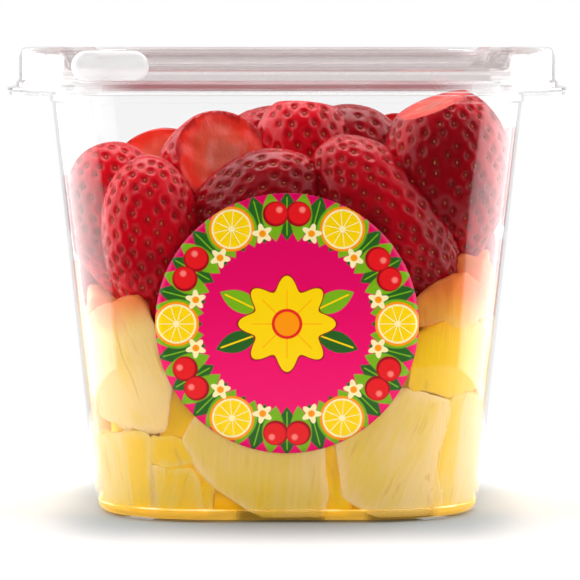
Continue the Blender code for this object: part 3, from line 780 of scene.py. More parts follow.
def print_middle(art):
    for side in (-1, 1):
        for tilt, shift, green in ((0.45, 12.0, LEAF_GREEN), (-0.35, 12.4, LEAF_DARK)):
            cosine, sine = math.cos(tilt), math.sin(tilt) * side
            along = art.x * (side * cosine) + art.y * (sine * side) - shift
            beside = art.y * cosine - art.x * sine
            art.lay(art.leaf(along, beside, 5.4, 2.5).under(0, 0.06), green)
            art.lay(abs(beside).under(0.2, 0.1) * abs(along).under(4.2, 0.3), SUN_YELLOW)
    bloom = art.petals(art.y, art.x, 8.0, 9.4, 1.7)
    art.lay(bloom.under(0.75, EDGE), CHERRY_DARK)
    art.lay(bloom.under(0.35, EDGE), SUN_YELLOW)
    lines = abs(art.finish.math("SINE", art.angle * 4.0)) * art.out
    art.lay(lines.under(0.35, 0.12) * art.out.under(8.2, 0.2), SUN_DEEP)
    art.lay(art.out.under(3.6, EDGE), CHERRY_RED)
    art.lay(art.out.under(2.9, EDGE), SUN_DEEP)


def label_paper():
    finish = Finish("printed label", Roughness=0.3, Specular_IOR_Level=0.25)
    # the magenta field is darker towards the top
    upper = finish.value_of("print_up").rise(-22, 20)
    art = Print(finish, finish.blend(upper, paint(244, 0, 106), paint(226, 0, 94)))
    print_border(art)
    print_middle(art)
    finish.feed("Base Color", art.colour)
    return finish


make_label(label_paper())

# %% [markdown]
# The strawberries that show through the front wall are placed one by one, as whoever fills the tub
# lays them against it. A table says for each where it lies, which way its tip points, how long and
# wide it is, and whether a knife took a slice off it.

# %% Strawberries at the front
Berry = namedtuple("Berry", "place tip length width cut ripe")

# place: middle of the fruit; tip: the way its point faces; cut: the way a sliced face looks, and how
# far from the middle the slice lies; ripe: from bright red to crimson. All in millimetres.
FRONT_BERRIES = [
    Berry((-40, -22, 70), (0.25, -0.1, -1), 40, 27, None, 0.3),
    Berry((-32, -40, 66.5), (0.06, 0, -1), 41, 24, None, 0.25),
    Berry((-18, -24, 83), (-0.5, 0.75, -0.35), 36, 26, ((0.3, -0.85, 0.4), 8), 0.4),
    Berry((-30, -3, 79.5), (0.1, 0.85, -0.6), 30, 24, ((-0.1, -0.8, 0.6), 7), 0.3),
    Berry((-7.5, -38, 74.5), (-0.93, -0.05, -0.35), 37, 25, None, 0.7),
    Berry((5, -19, 86), (0.3, -0.35, -0.9), 31, 26, ((0.1, 0.2, 1), 12), 0.2),
    Berry((18.5, -16, 83.5), (0.65, -0.25, -0.7), 34, 25, None, 0.5),
    Berry((-6, 2, 84), (-0.5, 0.4, -0.6), 30, 24, None, 0.4),
    Berry((24, -37.5, 70.5), (0.64, -0.05, -0.76), 50, 27.5, None, 0.65),
    Berry((38.5, -32, 81.7), (0.12, 0.05, -1), 43, 31, ((-0.34, -0.18, 0.92), 17.5), 0.55),
    Berry((27, -4, 83), (0.1, 0.9, -0.4), 30, 24, ((-0.1, -0.95, 0.3), 6), 0.4),
    Berry((42, -2, 80), (0.3, 0.4, -0.9), 34, 25, None, 0.5),
    Berry((-9, -38, 55), (0.8, 0.1, -0.5), 34, 23, None, 0.7),
    Berry((14, -34, 56), (0.2, 0.2, -1), 30, 22, None, 0.8),
]
print(len(FRONT_BERRIES), "strawberries placed by hand")

# %% [markdown]
# Behind them, fruit was only tipped in. Rows of berries start at even steps round the walls, with
# seeded differences in size and turn, and are then pushed off each other and back inside the walls a
# few dozen times, which is how such fruit settles.

# %% Strawberries behind them
# each row's height, and how far forward it reaches
SIDE_BERRY_ROWS = ((63 * MM, 1 * MM), (78 * MM, -18 * MM))
MIDDLE_BERRIES = ((-14, 18), (14, 17), (0, 1))
LEFT_SIDE, RIGHT_SIDE = -25 * MM, 30 * MM
RIGHT_PINEAPPLE_END = 14 * MM
LEFT_BERRY_DROP = 7 * MM
BERRY_SPACING, BERRY_INSET, BERRY_HIGHEST = 26 * MM, 12.5 * MM, 81 * MM
BERRY_WIDTHS, BERRY_LONGER = (22.5, 26), (1.25, 1.5)
# share of two radii at which berries touch, share of an overlap that one push takes away, share of
# a width that stays between a middle and the wall, and how far a middle may sink
TOUCH, PUSH, WALL_ROOM, SINK = 0.95, 0.5, 0.45, 5 * MM
FRUIT_SEED = 21


def round_the_walls(half, spacing):
    """Places and wall angles at even steps round a square, starting at the front's left corner."""
    per_side = max(2, round(2 * half / spacing))
    for side in range(4):
        for step in range(per_side):
            along = -half + (step + 0.5) * 2 * half / per_side
            turn = side * math.pi / 2
            yield Matrix.Rotation(turn, 3, "Z") @ Vector((along, -half, 0)), turn


def side_berries():
    """Strawberries behind and beside the front ones, in rows round the walls and a few in the middle."""
    draw = random.Random(FRUIT_SEED)
    taken = [(Vector(berry.place) * MM, berry.width * MM / 2) for berry in FRONT_BERRIES]
    loose = []
    for z, first_y in SIDE_BERRY_ROWS:
        spots = [place for place, _ in round_the_walls(tub_half(z) - WALL - BERRY_INSET, BERRY_SPACING)]
        spots += [Vector((x * MM, y * MM, 0)) for x, y in MIDDLE_BERRIES]
        for place in spots:
            lowest_row = z == SIDE_BERRY_ROWS[0][0]
            under_right = lowest_row and place.x > RIGHT_SIDE and place.y < RIGHT_PINEAPPLE_END
            if place.y < first_y or under_right:
                continue
            width = draw.uniform(*BERRY_WIDTHS) * MM
            tip = (draw.uniform(-1, 1), draw.uniform(-1, 1), draw.uniform(-1.2, 0.2))
            height = z + draw.uniform(-2, 2) * MM - (LEFT_BERRY_DROP if place.x < LEFT_SIDE else 0)
            loose.append([Vector((place.x, place.y, height)), width, tip, draw.uniform(*BERRY_LONGER)])
    settle(loose, taken)
    return [Berry(tuple(place / MM), tip, width / MM * longer, width / MM, None, draw.uniform(0.2, 0.8))
            for place, width, tip, longer in loose]


def settle(loose, taken, rounds=40):
    """Pushes loose fruit off its neighbours and back inside the walls, a little each round."""
    for _ in range(rounds):
        for index, item in enumerate(loose):
            others = taken + [(other[0], other[1] / 2) for i, other in enumerate(loose) if i != index]
            for place, radius in others:
                apart = item[0] - place
                short = TOUCH * (radius + item[1] / 2) - apart.length
                if short > 0:
                    item[0] = item[0] + apart.normalized() * short * PUSH
            inside = tub_half(item[0].z) - WALL - WALL_ROOM * item[1]
            item[0].x = max(-inside, min(inside, item[0].x))
            item[0].y = max(-inside, min(inside, item[0].y))
            highest = BERRY_HIGHEST - (LEFT_BERRY_DROP if item[0].x < LEFT_SIDE else 0)
            item[0].z = max(SIDE_BERRY_ROWS[0][0] - SINK, min(highest, item[0].z))


BERRIES = FRONT_BERRIES + side_berries()
print(len(BERRIES), "strawberries in all")

# %% [markdown]
# A strawberry is a round-shouldered body that narrows to its tip, so a sphere is reshaped by one
# formula. Where a knife took a slice, a plane cuts the mesh and what lies beyond is pressed onto
# that plane. Where fruit leans on the tub it is pressed flat against the wall, as soft fruit is.

# %% Strawberry bodies
FRUIT_GAP = 0.35 * MM
LAYERS, LAYER = 5, 0.12 * MM
LUMP, LUMP_SIZE = 0.045, 1.4
CUT_WAVE, CUT_WAVE_SIZE = 0.7 * MM, 0.22


def inside_wall(co, gap=FRUIT_GAP):
    """The place itself, or the nearest one inside the tub's wall."""
    gap += foot_inset(co.z)
    half, radius = tub_half(co.z) - WALL - gap, tub_radius(co.z) - WALL - gap
    flat = half - radius
    past_x, past_y = max(0.0, abs(co.x) - flat), max(0.0, abs(co.y) - flat)
    past = math.hypot(past_x, past_y)
    if past <= radius:
        return co
    x = flat + past_x * radius / past if past_x else abs(co.x)
    y = flat + past_y * radius / past if past_y else abs(co.y)
    return Vector((math.copysign(x, co.x), math.copysign(y, co.y), co.z))


def own_gap(index, loose_from, start):
    """Pieces that overlap along a wall each lie a hair deeper, so that no two skins coincide."""
    return FRUIT_GAP if index < loose_from else start + LAYER * (index % LAYERS)


def berry_frame(berry):
    """From a berry's own axes, with its tip at -Z, to where it lies."""
    turned = Vector(berry.tip).to_track_quat("-Z", "Y").to_matrix().to_4x4()
    return Matrix.Translation(Vector(berry.place) * MM) @ turned


def belly(height):
    """How a berry's width changes from its tip at -1 to its shoulders at 1."""
    return 1.0 + 0.15 * height - 0.12 * height * height


def berry_body(berry, columns, gap):
    bm = bmesh.new()
    bmesh.ops.create_uvsphere(bm, u_segments=columns, v_segments=columns // 2, radius=1)
    across, along = berry.width * MM / 2, berry.length * MM / 2
    own = Vector(berry.place)
    ripe = bm.verts.layers.float.new("ripe")
    for vert in bm.verts:
        vert[ripe] = berry.ripe
        height = vert.co.z
        lump = 1 + LUMP * noise.noise(vert.co * LUMP_SIZE + own)
        wide = across * belly(height) * lump
        vert.co = (vert.co.x * wide, vert.co.y * wide, height * along * lump)
    bmesh.ops.transform(bm, verts=bm.verts, matrix=berry_frame(berry))
    if berry.cut:
        slice_berry(bm, berry)
    for vert in bm.verts:
        vert.co = inside_wall(vert.co, gap)
    bm.normal_update()
    return bm


def slice_berry(bm, berry):
    """Cuts the body at its plane and presses what lies beyond onto it, marked as flesh."""
    rim_layer = bm.verts.layers.float.new("rim")
    place, normal = Vector(berry.place) * MM, Vector(berry.cut[0]).normalized()
    deep = berry.cut[1] * MM
    plane = place + normal * deep
    bmesh.ops.bisect_plane(bm, geom=bm.verts[:] + bm.edges[:] + bm.faces[:], dist=MERGE,
                           plane_co=plane, plane_no=normal)
    beyond = {vert: (vert.co - plane).dot(normal) for vert in bm.verts}
    rim = [vert for vert, past in beyond.items() if abs(past) <= MERGE * 2]
    near_rim = kdtree.KDTree(len(rim))
    for index, vert in enumerate(rim):
        near_rim.insert(vert.co, index)
    near_rim.balance()
    for face in bm.faces:
        if all(beyond[vert] > -MERGE * 2 for vert in face.verts):
            face.material_index = 1
    for vert, past in beyond.items():
        if past > MERGE:
            ray = vert.co - place
            flat = place + ray * (deep / ray.dot(normal))
            inner = near_rim.find(flat)[2]
            vert[rim_layer] = inner / MM
            wave = noise.noise(flat / MM * CUT_WAVE_SIZE) * smooth_step(0, 2 * MM, inner)
            vert.co = flat + normal * CUT_WAVE * wave
    bmesh.ops.dissolve_degenerate(bm, edges=bm.edges, dist=MERGE)


BERRY_PLACES = [(berry_frame(berry).inverted(), berry.width * MM / 2, berry.length * MM / 2)
                for berry in BERRIES]
print("widest strawberry:", round(max(berry.width for berry in BERRIES), 1), "mm")

# %% [markdown]
# Seeds sit in a spiral, each at the bottom of a small pit, and the skin between the pits stands up
# as a fine net. The net is what catches the light on a wet strawberry, so it is real relief: each
# point of the skin sinks by how near it is to a seed.

# %% Pits and seeds
GOLDEN_TURN = math.pi * (3 - math.sqrt(5))
SEED_SPACING = 3.35 * MM
# seeds on a skin, for half its width times half its length over a spacing squared
SEED_FILL = 11.2
SEED_SHOULDER, SEED_TIP = 0.94, -0.99
SEED_WANDER, SEED_TURN_WANDER = 0.12, 0.08
PIT_RADIUS, PIT_DEPTH, PIT_STRETCH = 1.35 * MM, 0.62 * MM, 0.8
PIT_DEPTHS, PIT_FLOOR = (0.7, 1.0), 0.3
RIDGE = 0.55 * MM
# a seed is hidden where it lies this far inside another berry, or within the heap's heart
SKIN_SHARE = 0.97
HEART_HALF, HEART_TOP = 34 * MM, 72 * MM


def hidden(point, own):
    """True inside another strawberry, or deep in the heap."""
    for index, (to_berry, across, along) in enumerate(BERRY_PLACES):
        if index == own:
            continue
        local = to_berry @ point
        height = local.z / along
        if abs(height) < SKIN_SHARE:
            wide = across * belly(height) * math.sqrt(1 - height * height)
            if local.x ** 2 + local.y ** 2 < (wide * SKIN_SHARE) ** 2:
                return True
    return max(abs(point.x), abs(point.y)) < HEART_HALF and point.z < HEART_TOP


def seed_places(index, berry, bm):
    """Where the seeds of a berry sit, and the way its skin faces there."""
    across, along = berry.width * MM / 2, berry.length * MM / 2
    count = round(SEED_FILL * across * along / SEED_SPACING ** 2)
    tree = BVHTree.FromBMesh(bm)
    to_world = berry_frame(berry)
    middle = to_world.translation
    draw = random.Random(index)
    for step in range(count):
        height = 1 - 2 * (step + 0.5) / count
        if height > SEED_SHOULDER:
            continue
        height += draw.uniform(-SEED_WANDER, SEED_WANDER) * SEED_SPACING / along
        height = max(SEED_TIP, height)
        angle = step * GOLDEN_TURN + draw.uniform(-SEED_TURN_WANDER, SEED_TURN_WANDER)
        flat = math.sqrt(1 - height * height)
        unit = Vector((flat * math.cos(angle) * across, flat * math.sin(angle) * across, height * along))
        ray = (to_world.to_3x3() @ unit).normalized()
        place, normal, face, _ = tree.ray_cast(middle, ray)
        if place is None or bm.faces[face].material_index == 1:
            continue
        yield place, normal


def sink_pits(bm, seeds, axis):
    """Sinks the skin round each seed, in ovals along the berry's axis, and leaves ridges between."""
    pit_layer = bm.verts.layers.float.new("pit")

    def squeezed(place):
        return place - axis * place.dot(axis) * (1 - PIT_STRETCH)

    near = kdtree.KDTree(len(seeds))
    for index, (place, _) in enumerate(seeds):
        near.insert(squeezed(place), index)
    near.balance()
    draw = random.Random(len(seeds))
    depths = [draw.uniform(*PIT_DEPTHS) for _ in seeds]
    flesh = {vert for face in bm.faces if face.material_index == 1 for vert in face.verts}
    for vert in bm.verts:
        if vert in flesh:
            continue
        (_, nearest, first), (_, _, second) = near.find_n(squeezed(vert.co), 2)
        sunk = smooth_step(PIT_RADIUS, PIT_RADIUS * PIT_FLOOR, first)
        sunk *= smooth_step(0, RIDGE, second - first)
        if sunk > 0:
            vert[pit_layer] = sunk
            vert.co -= vert.normal * PIT_DEPTH * depths[nearest] * sunk


# %% [markdown]
# A seed is so small that a ball of twenty faces is enough for it, and one is made and copied to every
# pit that can be seen. The berries are then joined into a few pieces by where they lie, with most
# points on those at the front.

# %% Seeds and strawberry pieces
SEED_HALF, SEED_TAPER = Vector((0.29, 0.2, 0.46)) * MM, 0.35
SEED_SEAT = 0.7
CLOSE, HALF_HIDDEN, FAR, QUICK = 216, 120, 110, 48
BERRY_GROUPS = {
    "strawberries_left": ((0, 1, 2, 3), CLOSE),
    "strawberries_middle": ((4, 5, 6), CLOSE),
    "strawberries_right": ((8, 9, 10), CLOSE),
    "strawberries_between": ((7, 11, 12, 13), HALF_HIDDEN),
    "strawberries_sides": (range(len(FRONT_BERRIES), len(BERRIES), 2), FAR),
    "strawberries_back": (range(len(FRONT_BERRIES) + 1, len(BERRIES), 2), FAR),
}


def seed_shape():
    """One seed: a small drop, flat on two sides and pointed at one end."""
    bm = bmesh.new()
    bmesh.ops.create_icosphere(bm, subdivisions=1, radius=1)
    for vert in bm.verts:
        narrow = 1 - SEED_TAPER * max(0.0, vert.co.z)
        vert.co = (vert.co.x * SEED_HALF.x * narrow, vert.co.y * SEED_HALF.y, vert.co.z * SEED_HALF.z)
    points = np.array([vert.co[:] for vert in bm.verts])
    faces = np.array([[vert.index for vert in face.verts] for face in bm.faces])
    bm.free()
    return points, faces


def seed_turn(normal, axis):
    """Axes of a seed that lies on the skin and points along the berry."""
    along = (axis - normal * axis.dot(normal)).normalized()
    side = along.cross(normal)
    return np.array([side[:], normal[:], along[:]])


def make_strawberries(finishes, seed_finish):
    shape, shape_faces = seed_shape()
    seed_points, seed_faces = [], []
    for name, (members, columns) in BERRY_GROUPS.items():
        heap = bmesh.new()
        for layer in ("pit", "rim", "ripe"):
            heap.verts.layers.float.new(layer)
        for index in members:
            berry = BERRIES[index]
            gap = own_gap(index, len(FRONT_BERRIES), FRUIT_GAP + LAYER / 4)
            body = berry_body(berry, columns, gap)
            body.faces.ensure_lookup_table()
            seeds = list(seed_places(index, berry, body))
            axis = Vector(berry.tip).normalized()
            sink_pits(body, seeds, axis)
            for place, normal in seeds:
                if hidden(place, index):
                    continue
                seat = np.array((place - normal * PIT_DEPTH * SEED_SEAT)[:])
                seed_faces.append(shape_faces + len(shape) * len(seed_points))
                seed_points.append(shape @ seed_turn(normal, axis) + seat)
            join(heap, body)
        piece(name, heap, finishes, "strawberry_heap")
    seed_mesh = bpy.data.meshes.new("strawberry_seeds")
    seed_mesh.from_pydata(np.concatenate(seed_points).tolist(), [], np.concatenate(seed_faces).tolist())
    dressed("strawberry_seeds", seed_mesh, [seed_finish], "strawberry_heap")


def join(heap, body):
    """Adds one bmesh to another, with its attributes."""
    passing = bpy.data.meshes.new("passing")
    body.to_mesh(passing)
    body.free()
    heap.from_mesh(passing)
    bpy.data.meshes.remove(passing)


# %% [markdown]
# Ripe skin is a deep crimson, painted darker in the pits as shade, and it is wet, so it shines. Cut
# flesh is deep red at its rim, orange-red inside that, and paler and browner towards the middle, with
# fine rays.


# %% Strawberry finishes
def strawberry_skin():
    finish = Finish("strawberry skin", Roughness=0.24, Specular_IOR_Level=0.18, Subsurface_Weight=0.08,
                    Subsurface_Radius=(1.0, 0.2, 0.1), Subsurface_Scale=0.002)
    patch = finish.cloud(finish.object_place(), 55.0).rise(0.35, 0.68)
    ripe = finish.value_of("ripe") + (patch - 0.5) * 0.6
    skin = finish.blend(ripe.rise(-0.1, 0.9), paint(204, 2, 24), paint(132, 0, 12))
    pit = finish.value_of("pit")
    # painted shade: the skin is darkened in its pits, on top of their real relief
    skin = finish.blend(pit * 0.38, skin, paint(84, 0, 8))
    finish.feed("Base Color", skin)
    finish.feed("Roughness", 0.2 + 0.3 * pit)
    fine = finish.cloud(finish.object_place(), 1400.0)
    finish.bump(fine, 0.25, 0.1 * MM)
    return finish


def strawberry_flesh():
    finish = Finish("strawberry flesh", Roughness=0.3, IOR=1.4, Subsurface_Weight=0.2,
                    Subsurface_Radius=(1.0, 0.3, 0.15), Subsurface_Scale=0.002)
    rim = finish.value_of("rim")
    rays = finish.cloud(finish.stretched(finish.object_place(), (1.0, 1.0, 0.35)), 700.0, 3.0)
    patch = finish.cloud(finish.object_place(), 90.0)
    deep = rim + (rays - 0.5) * 2.4 + (patch - 0.5) * 7.0
    flesh = finish.blend(deep.rise(0.0, 1.8), paint(176, 6, 14), paint(226, 44, 26))
    flesh = finish.blend(deep.rise(2.0, 5.0), flesh, paint(206, 66, 42))
    flesh = finish.blend(deep.rise(5.5, 9.0), flesh, paint(184, 80, 60))
    finish.feed("Base Color", flesh)
    finish.bump(rays, 0.5, 0.25 * MM)
    return finish


def seed_husk():
    finish = Finish("strawberry seed", Roughness=0.35, IOR=1.45)
    tone = finish.cloud(finish.object_place(), 300.0)
    husk = finish.blend(tone.rise(0.35, 0.65), paint(196, 112, 40), paint(126, 50, 16))
    finish.feed("Base Color", husk)
    return finish


make_strawberries([strawberry_skin(), strawberry_flesh()], seed_husk())

# %% [markdown]
# The pineapple was cut by hand, so no two pieces are alike. Those that show through the front wall are
# drawn one by one, as outlines seen from the front. The ones at the corners are drawn on the side
# walls in the same way.

# %% Pineapple outlines
# outline (across, height), setback from the wall, depth, all in millimetres, and tone from pale to
# golden; the corner pieces also have the turn to the wall that they stand at
FRONT_CHUNKS = [
    ([(-50, 46), (-46, 51.5), (-35, 55.5), (-28, 43), (-26.6, 32), (-28.8, 21.3), (-45, 21.8),
      (-49, 36)], 0, 24, 0.12),
    ([(-47, 21.6), (-32.2, 21.6), (-32.6, 13), (-32.2, 0.4), (-46, 0.4)], 0, 22, 0.85),
    ([(-33.4, 21.4), (-25, 21), (-20.8, 15.3), (-22.6, 13.3), (-33.4, 13.3)], 0.5, 20, 1.05),
    ([(-33.6, 13.6), (-22.4, 13.6), (-20.2, 8.7), (-18.8, 0.4), (-33.4, 0.4)], 0.2, 20, 0.9),
    ([(-31, 33), (-18, 35), (-14, 22), (-18, 0.4), (-30, 10)], 3, 20, 1.15),
    ([(-26.2, 19.7), (-23.6, 24.4), (-17, 29), (9, 33), (9.8, 13.4), (10.6, 6.3), (9, 0.4),
      (-5.9, 0.4), (-16.4, 6.8), (-21.2, 12.4)], 0, 18, 0.38),
    ([(6, 32), (16, 32), (15, 0.4), (6, 0.4)], 3, 18, 1.15),
    ([(10.8, 19.3), (13.8, 31.5), (26, 33.6), (40.3, 29.2), (38.3, 20.4), (36, 12), (38.4, 0.4),
      (21.8, 0.4), (13, 5.2)], 0, 20, 0.25),
    ([(36, 31), (47, 31), (48, 18), (47, 0.4), (34, 0.4)], 5, 20, 0.6),
    ([(29, 45), (35.9, 49), (46.5, 49), (49.6, 42), (49.6, 30.4), (40.6, 29.2),
      (28, 31.6)], 1, 22, 1.25),
    ([(27, 52), (35.9, 58), (43, 60), (49, 55), (48.5, 47), (35.9, 46.4), (26, 45)], 4, 18, 0.55),
    ([(40, 64), (47, 63), (52, 56), (50, 48), (43, 48), (39, 55)], 9, 18, 0.1),
    ([(-26, 44), (-8, 48), (3, 41), (1, 30), (-24, 31)], 1.5, 20, 0.6),
    ([(1, 46), (20, 48), (30, 38), (26, 32), (2, 34)], 1.5, 20, 0.5),
]
RIGHT_WALL, LEFT_WALL = math.pi / 2, -math.pi / 2
CORNER_CHUNKS = [
    ([(-30, 47), (-31, 58), (-22, 64), (-8, 62), (-2, 52), (-8, 44)], 3, 18, 0.3, RIGHT_WALL),
    ([(-30, 46), (-16, 46), (-14, 28), (-30, 26)], 5, 18, 0.7, RIGHT_WALL),
    ([(-4, 50), (4, 56), (20, 55), (28, 50), (26, 40), (0, 42)], 3, 18, 0.4, LEFT_WALL),
]
print(len(FRONT_CHUNKS) + len(CORNER_CHUNKS), "pineapple pieces drawn by hand")

# %% [markdown]
# Pineapple pieces are wedges cut with a knife: flat faces, soft edges, and fibres that all run one
# way through a piece. Each starts as an outline that is pushed back and bevelled. A voxel remesh
# gives it an even skin, which noise then makes slightly uneven along the fibres.

# %% Pineapple pieces
# each row's height, and how far forward it reaches
SIDE_CHUNK_ROWS = ((12.5 * MM, -20 * MM), (32 * MM, -22 * MM), (48.5 * MM, -12 * MM))
CHUNK_SPACING, CHUNK_BEVEL = 25 * MM, 1.4 * MM
CHUNK_SIZE, CHUNK_DEPTH, CHUNK_TAPER = 14.5 * MM, 22 * MM, 0.85
CHUNK_REACH, CHUNK_FLATTER = (0.9, 1.15), 0.9
ROW_SHIFT, ROW_SQUEEZE = 7 * MM, 0.92
HEAP_FLOOR, RING_FLOOR = 2.3 * MM, 1.1 * MM
CREAM_EDGE, CREAM_SHIFT = 3.0 * MM, 0.5
FIBRE_RELIEF, DENT_RELIEF, FACE_RELIEF = 0.28 * MM, 0.5 * MM, 0.9 * MM


def side_chunks():
    """Pineapple pieces behind and beside the ones at the front, in rows round the walls."""
    draw = random.Random(FRUIT_SEED + 1)
    for row, (z, first_y) in enumerate(SIDE_CHUNK_ROWS):
        half = tub_half(z) - WALL
        for place, turn in round_the_walls(half - 2 * MM, CHUNK_SPACING):
            if place.y < first_y:
                continue
            along = (Matrix.Rotation(-turn, 3, "Z") @ place).x + (row % 2 - 0.5) * ROW_SHIFT
            sides = draw.choice((5, 6))
            tilt = draw.uniform(0, math.pi)
            points = []
            for corner in range(sides):
                angle = tilt - 2 * math.pi * corner / sides
                reach = CHUNK_SIZE * draw.uniform(*CHUNK_REACH)
                across = along * ROW_SQUEEZE + reach * math.cos(angle)
                points.append((across, z + reach * CHUNK_FLATTER * math.sin(angle)))
            yield points, -half - 1 * MM + draw.uniform(0, 3.5) * MM, CHUNK_DEPTH, turn


def wedge(points, front, depth):
    """An outline pushed back from the wall, narrower behind, with rounded edges."""
    bm = bmesh.new()
    face = bm.faces.new([bm.verts.new((x, front, z)) for x, z in points])
    pushed = bmesh.ops.extrude_face_region(bm, geom=[face])["geom"]
    behind = [part for part in pushed if isinstance(part, bmesh.types.BMVert)]
    middle = sum((vert.co for vert in behind), Vector()) / len(behind)
    bmesh.ops.scale(bm, verts=behind, vec=(CHUNK_TAPER, 1, CHUNK_TAPER), space=Matrix.Translation(-middle))
    bmesh.ops.translate(bm, verts=behind, vec=(0, depth, 0))
    bmesh.ops.recalc_face_normals(bm, faces=bm.faces)
    bmesh.ops.bevel(bm, geom=list(bm.edges), offset=CHUNK_BEVEL, affect="EDGES", segments=2,
                    profile=0.5, material=-1)
    return bm


def evenly_meshed(bm, voxel):
    """The same form with an even skin of small quads."""
    mesh = bpy.data.meshes.new("rough cut")
    bm.to_mesh(mesh)
    bm.free()
    obj = bpy.data.objects.new("rough cut", mesh)
    bpy.context.scene.collection.objects.link(obj)
    remesh = obj.modifiers.new("even skin", "REMESH")
    remesh.mode = "VOXEL"
    remesh.voxel_size = voxel
    skin = bpy.data.meshes.new_from_object(obj.evaluated_get(bpy.context.evaluated_depsgraph_get()))
    bpy.data.objects.remove(obj)
    bpy.data.meshes.remove(mesh)
    made = bmesh.new()
    made.from_mesh(skin)
    bpy.data.meshes.remove(skin)
    bmesh.ops.smooth_vert(made, verts=made.verts, factor=0.5, use_axis_x=True, use_axis_y=True,
                          use_axis_z=True)
    return made


def heap_floor(co):
    """How low fruit reaches: onto the raised middle of the base, or down into its ring."""
    inward = smooth_step(PUSH_UP_HALF + 2 * MM, PUSH_UP_HALF - 0.5 * MM, max(abs(co.x), abs(co.y)))
    return RING_FLOOR + (HEAP_FLOOR - RING_FLOOR) * inward


def from_edge(x, z, points):
    """How far a place on a piece's face lies from the face's outline."""
    place, nearest = Vector((x, z)), 1.0
    for first, second in zip(points, points[1:] + points[:1]):
        start, along = Vector(first), Vector(second) - Vector(first)
        share = max(0.0, min(1.0, (place - start).dot(along) / along.length_squared))
        nearest = min(nearest, (place - start - along * share).length)
    return nearest


def pineapple_piece(points, front, depth, turn, tone, voxel, index):
    """One piece with its relief along its own fibres, turned to its wall and kept inside the tub."""
    gap = own_gap(index, len(FRONT_CHUNKS), FRUIT_GAP + LAYER * 3 / 4)
    made = evenly_meshed(wedge(points, front, depth), voxel)
    draw = random.Random(FRUIT_SEED + 100 + index)
    fibres = Vector((draw.uniform(-0.5, 0.5), draw.uniform(-0.3, 0.3), 1)).to_track_quat("Z", "Y")
    fibres = fibres.to_matrix().inverted()
    offset = Vector((draw.uniform(0, 40), draw.uniform(0, 40), draw.uniform(0, 40)))
    grain = made.verts.layers.float_vector.new("grain")
    golden = made.verts.layers.float.new("golden")
    made.normal_update()
    for vert in made.verts:
        own = fibres @ vert.co / MM + offset
        vert[grain] = own
        cream = smooth_step(CREAM_EDGE, 0, from_edge(vert.co.x, vert.co.z, points))
        vert[golden] = tone - CREAM_SHIFT * cream
        streak = noise.noise(Vector((own.x * 0.75, own.y * 0.75, own.z * 0.1)))
        swell = noise.noise(own * 0.13)
        dents = noise.noise(Vector((own.x * 0.33, own.y * 0.33, own.z * 0.2)))
        relief = FIBRE_RELIEF * streak + DENT_RELIEF * dents + FACE_RELIEF * (swell - 0.15)
        vert.co += vert.normal * relief
    bmesh.ops.rotate(made, verts=made.verts, cent=(0, 0, 0), matrix=Matrix.Rotation(turn, 3, "Z"))
    for vert in made.verts:
        vert.co.z = max(vert.co.z, heap_floor(vert.co))
        vert.co = inside_wall(vert.co, gap)
    return made


def make_pineapple(finish):
    front_voxel, side_voxel = ((0.85 * MM, 1.25 * MM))
    front = bmesh.new()
    rows = [(*chunk, 0.0) for chunk in FRONT_CHUNKS] + CORNER_CHUNKS
    for index, (points, setback, depth, tone, turn) in enumerate(rows):
        points = [(x * MM, z * MM) for x, z in points]
        middle_z = sum(z for _, z in points) / len(points)
        wall = -(tub_half(middle_z) - WALL) - 1 * MM + setback * MM
        join(front, pineapple_piece(points, wall, depth * MM, turn, tone, front_voxel, index))
    piece("pineapple_front", front, [finish], "pineapple_heap")
    sides = bmesh.new()
    draw = random.Random(FRUIT_SEED + 2)
    for index, (points, wall, depth, turn) in enumerate(side_chunks()):
        tone = draw.uniform(0.05, 0.95)
        join(sides, pineapple_piece(points, wall, depth, turn, tone, side_voxel, len(rows) + index))
    piece("pineapple_sides", sides, [finish], "pineapple_heap")


# %% [markdown]
# Pineapple flesh is half see-through, so its colour comes from below the surface. Pale pieces are
# cream, as are the edges of all, ripe ones are golden, and thin streaks follow the fibres. Near the
# strawberries the flesh is stained.


# %% Pineapple finish
def pineapple_flesh():
    finish = Finish("pineapple flesh", Roughness=0.34, Specular_IOR_Level=0.35, Subsurface_Weight=0.5,
                    Subsurface_Radius=(1.0, 0.75, 0.2), Subsurface_Scale=0.005)
    grain = finish.attribute("grain").outputs["Vector"]
    golden = finish.value_of("golden")
    streaks = finish.cloud(finish.stretched(grain, (0.9, 0.9, 0.09)), 1.0, 3.0)
    patches = finish.cloud(finish.stretched(grain, (0.1, 0.1, 0.05)), 1.0)
    ripe = golden + (patches - 0.5) * 1.5 + (streaks - 0.5) * 0.8
    flesh = finish.blend(ripe.rise(-0.1, 0.55), paint(241, 206, 130), paint(238, 200, 84))
    flesh = finish.blend(ripe.rise(0.45, 1.0), flesh, paint(242, 194, 4))
    veins = finish.cloud(finish.stretched(grain, (0.5, 0.5, 0.06)), 1.0, 3.0).rise(0.6, 0.72)
    flesh = finish.blend(veins * 0.45, flesh, paint(216, 158, 40))
    # red juice has run down from the strawberries onto the upper pieces
    wander = (finish.cloud(finish.object_place(), 60.0) - 0.5) * 14.0
    stain = (finish.along("Z") + wander).rise(43, 56)
    flesh = finish.blend(stain * 0.85, flesh, paint(236, 104, 44))
    finish.feed("Base Color", flesh)
    finish.feed("Roughness", 0.28 + 0.2 * streaks)
    finish.bump(streaks, 0.35, 0.3 * MM)
    return finish


make_pineapple(pineapple_flesh())

# %% [markdown]
# Behind the pieces that show, each heap has a plain core, so that a gap between pieces shows fruit
# and not the far wall. The cores are lumpy blocks painted in the colours that such gaps have: the
# strawberry core is painted darker than any skin, as shade, and the pineapple core has a faint
# painted glow, which stands in for light coming through the flesh.

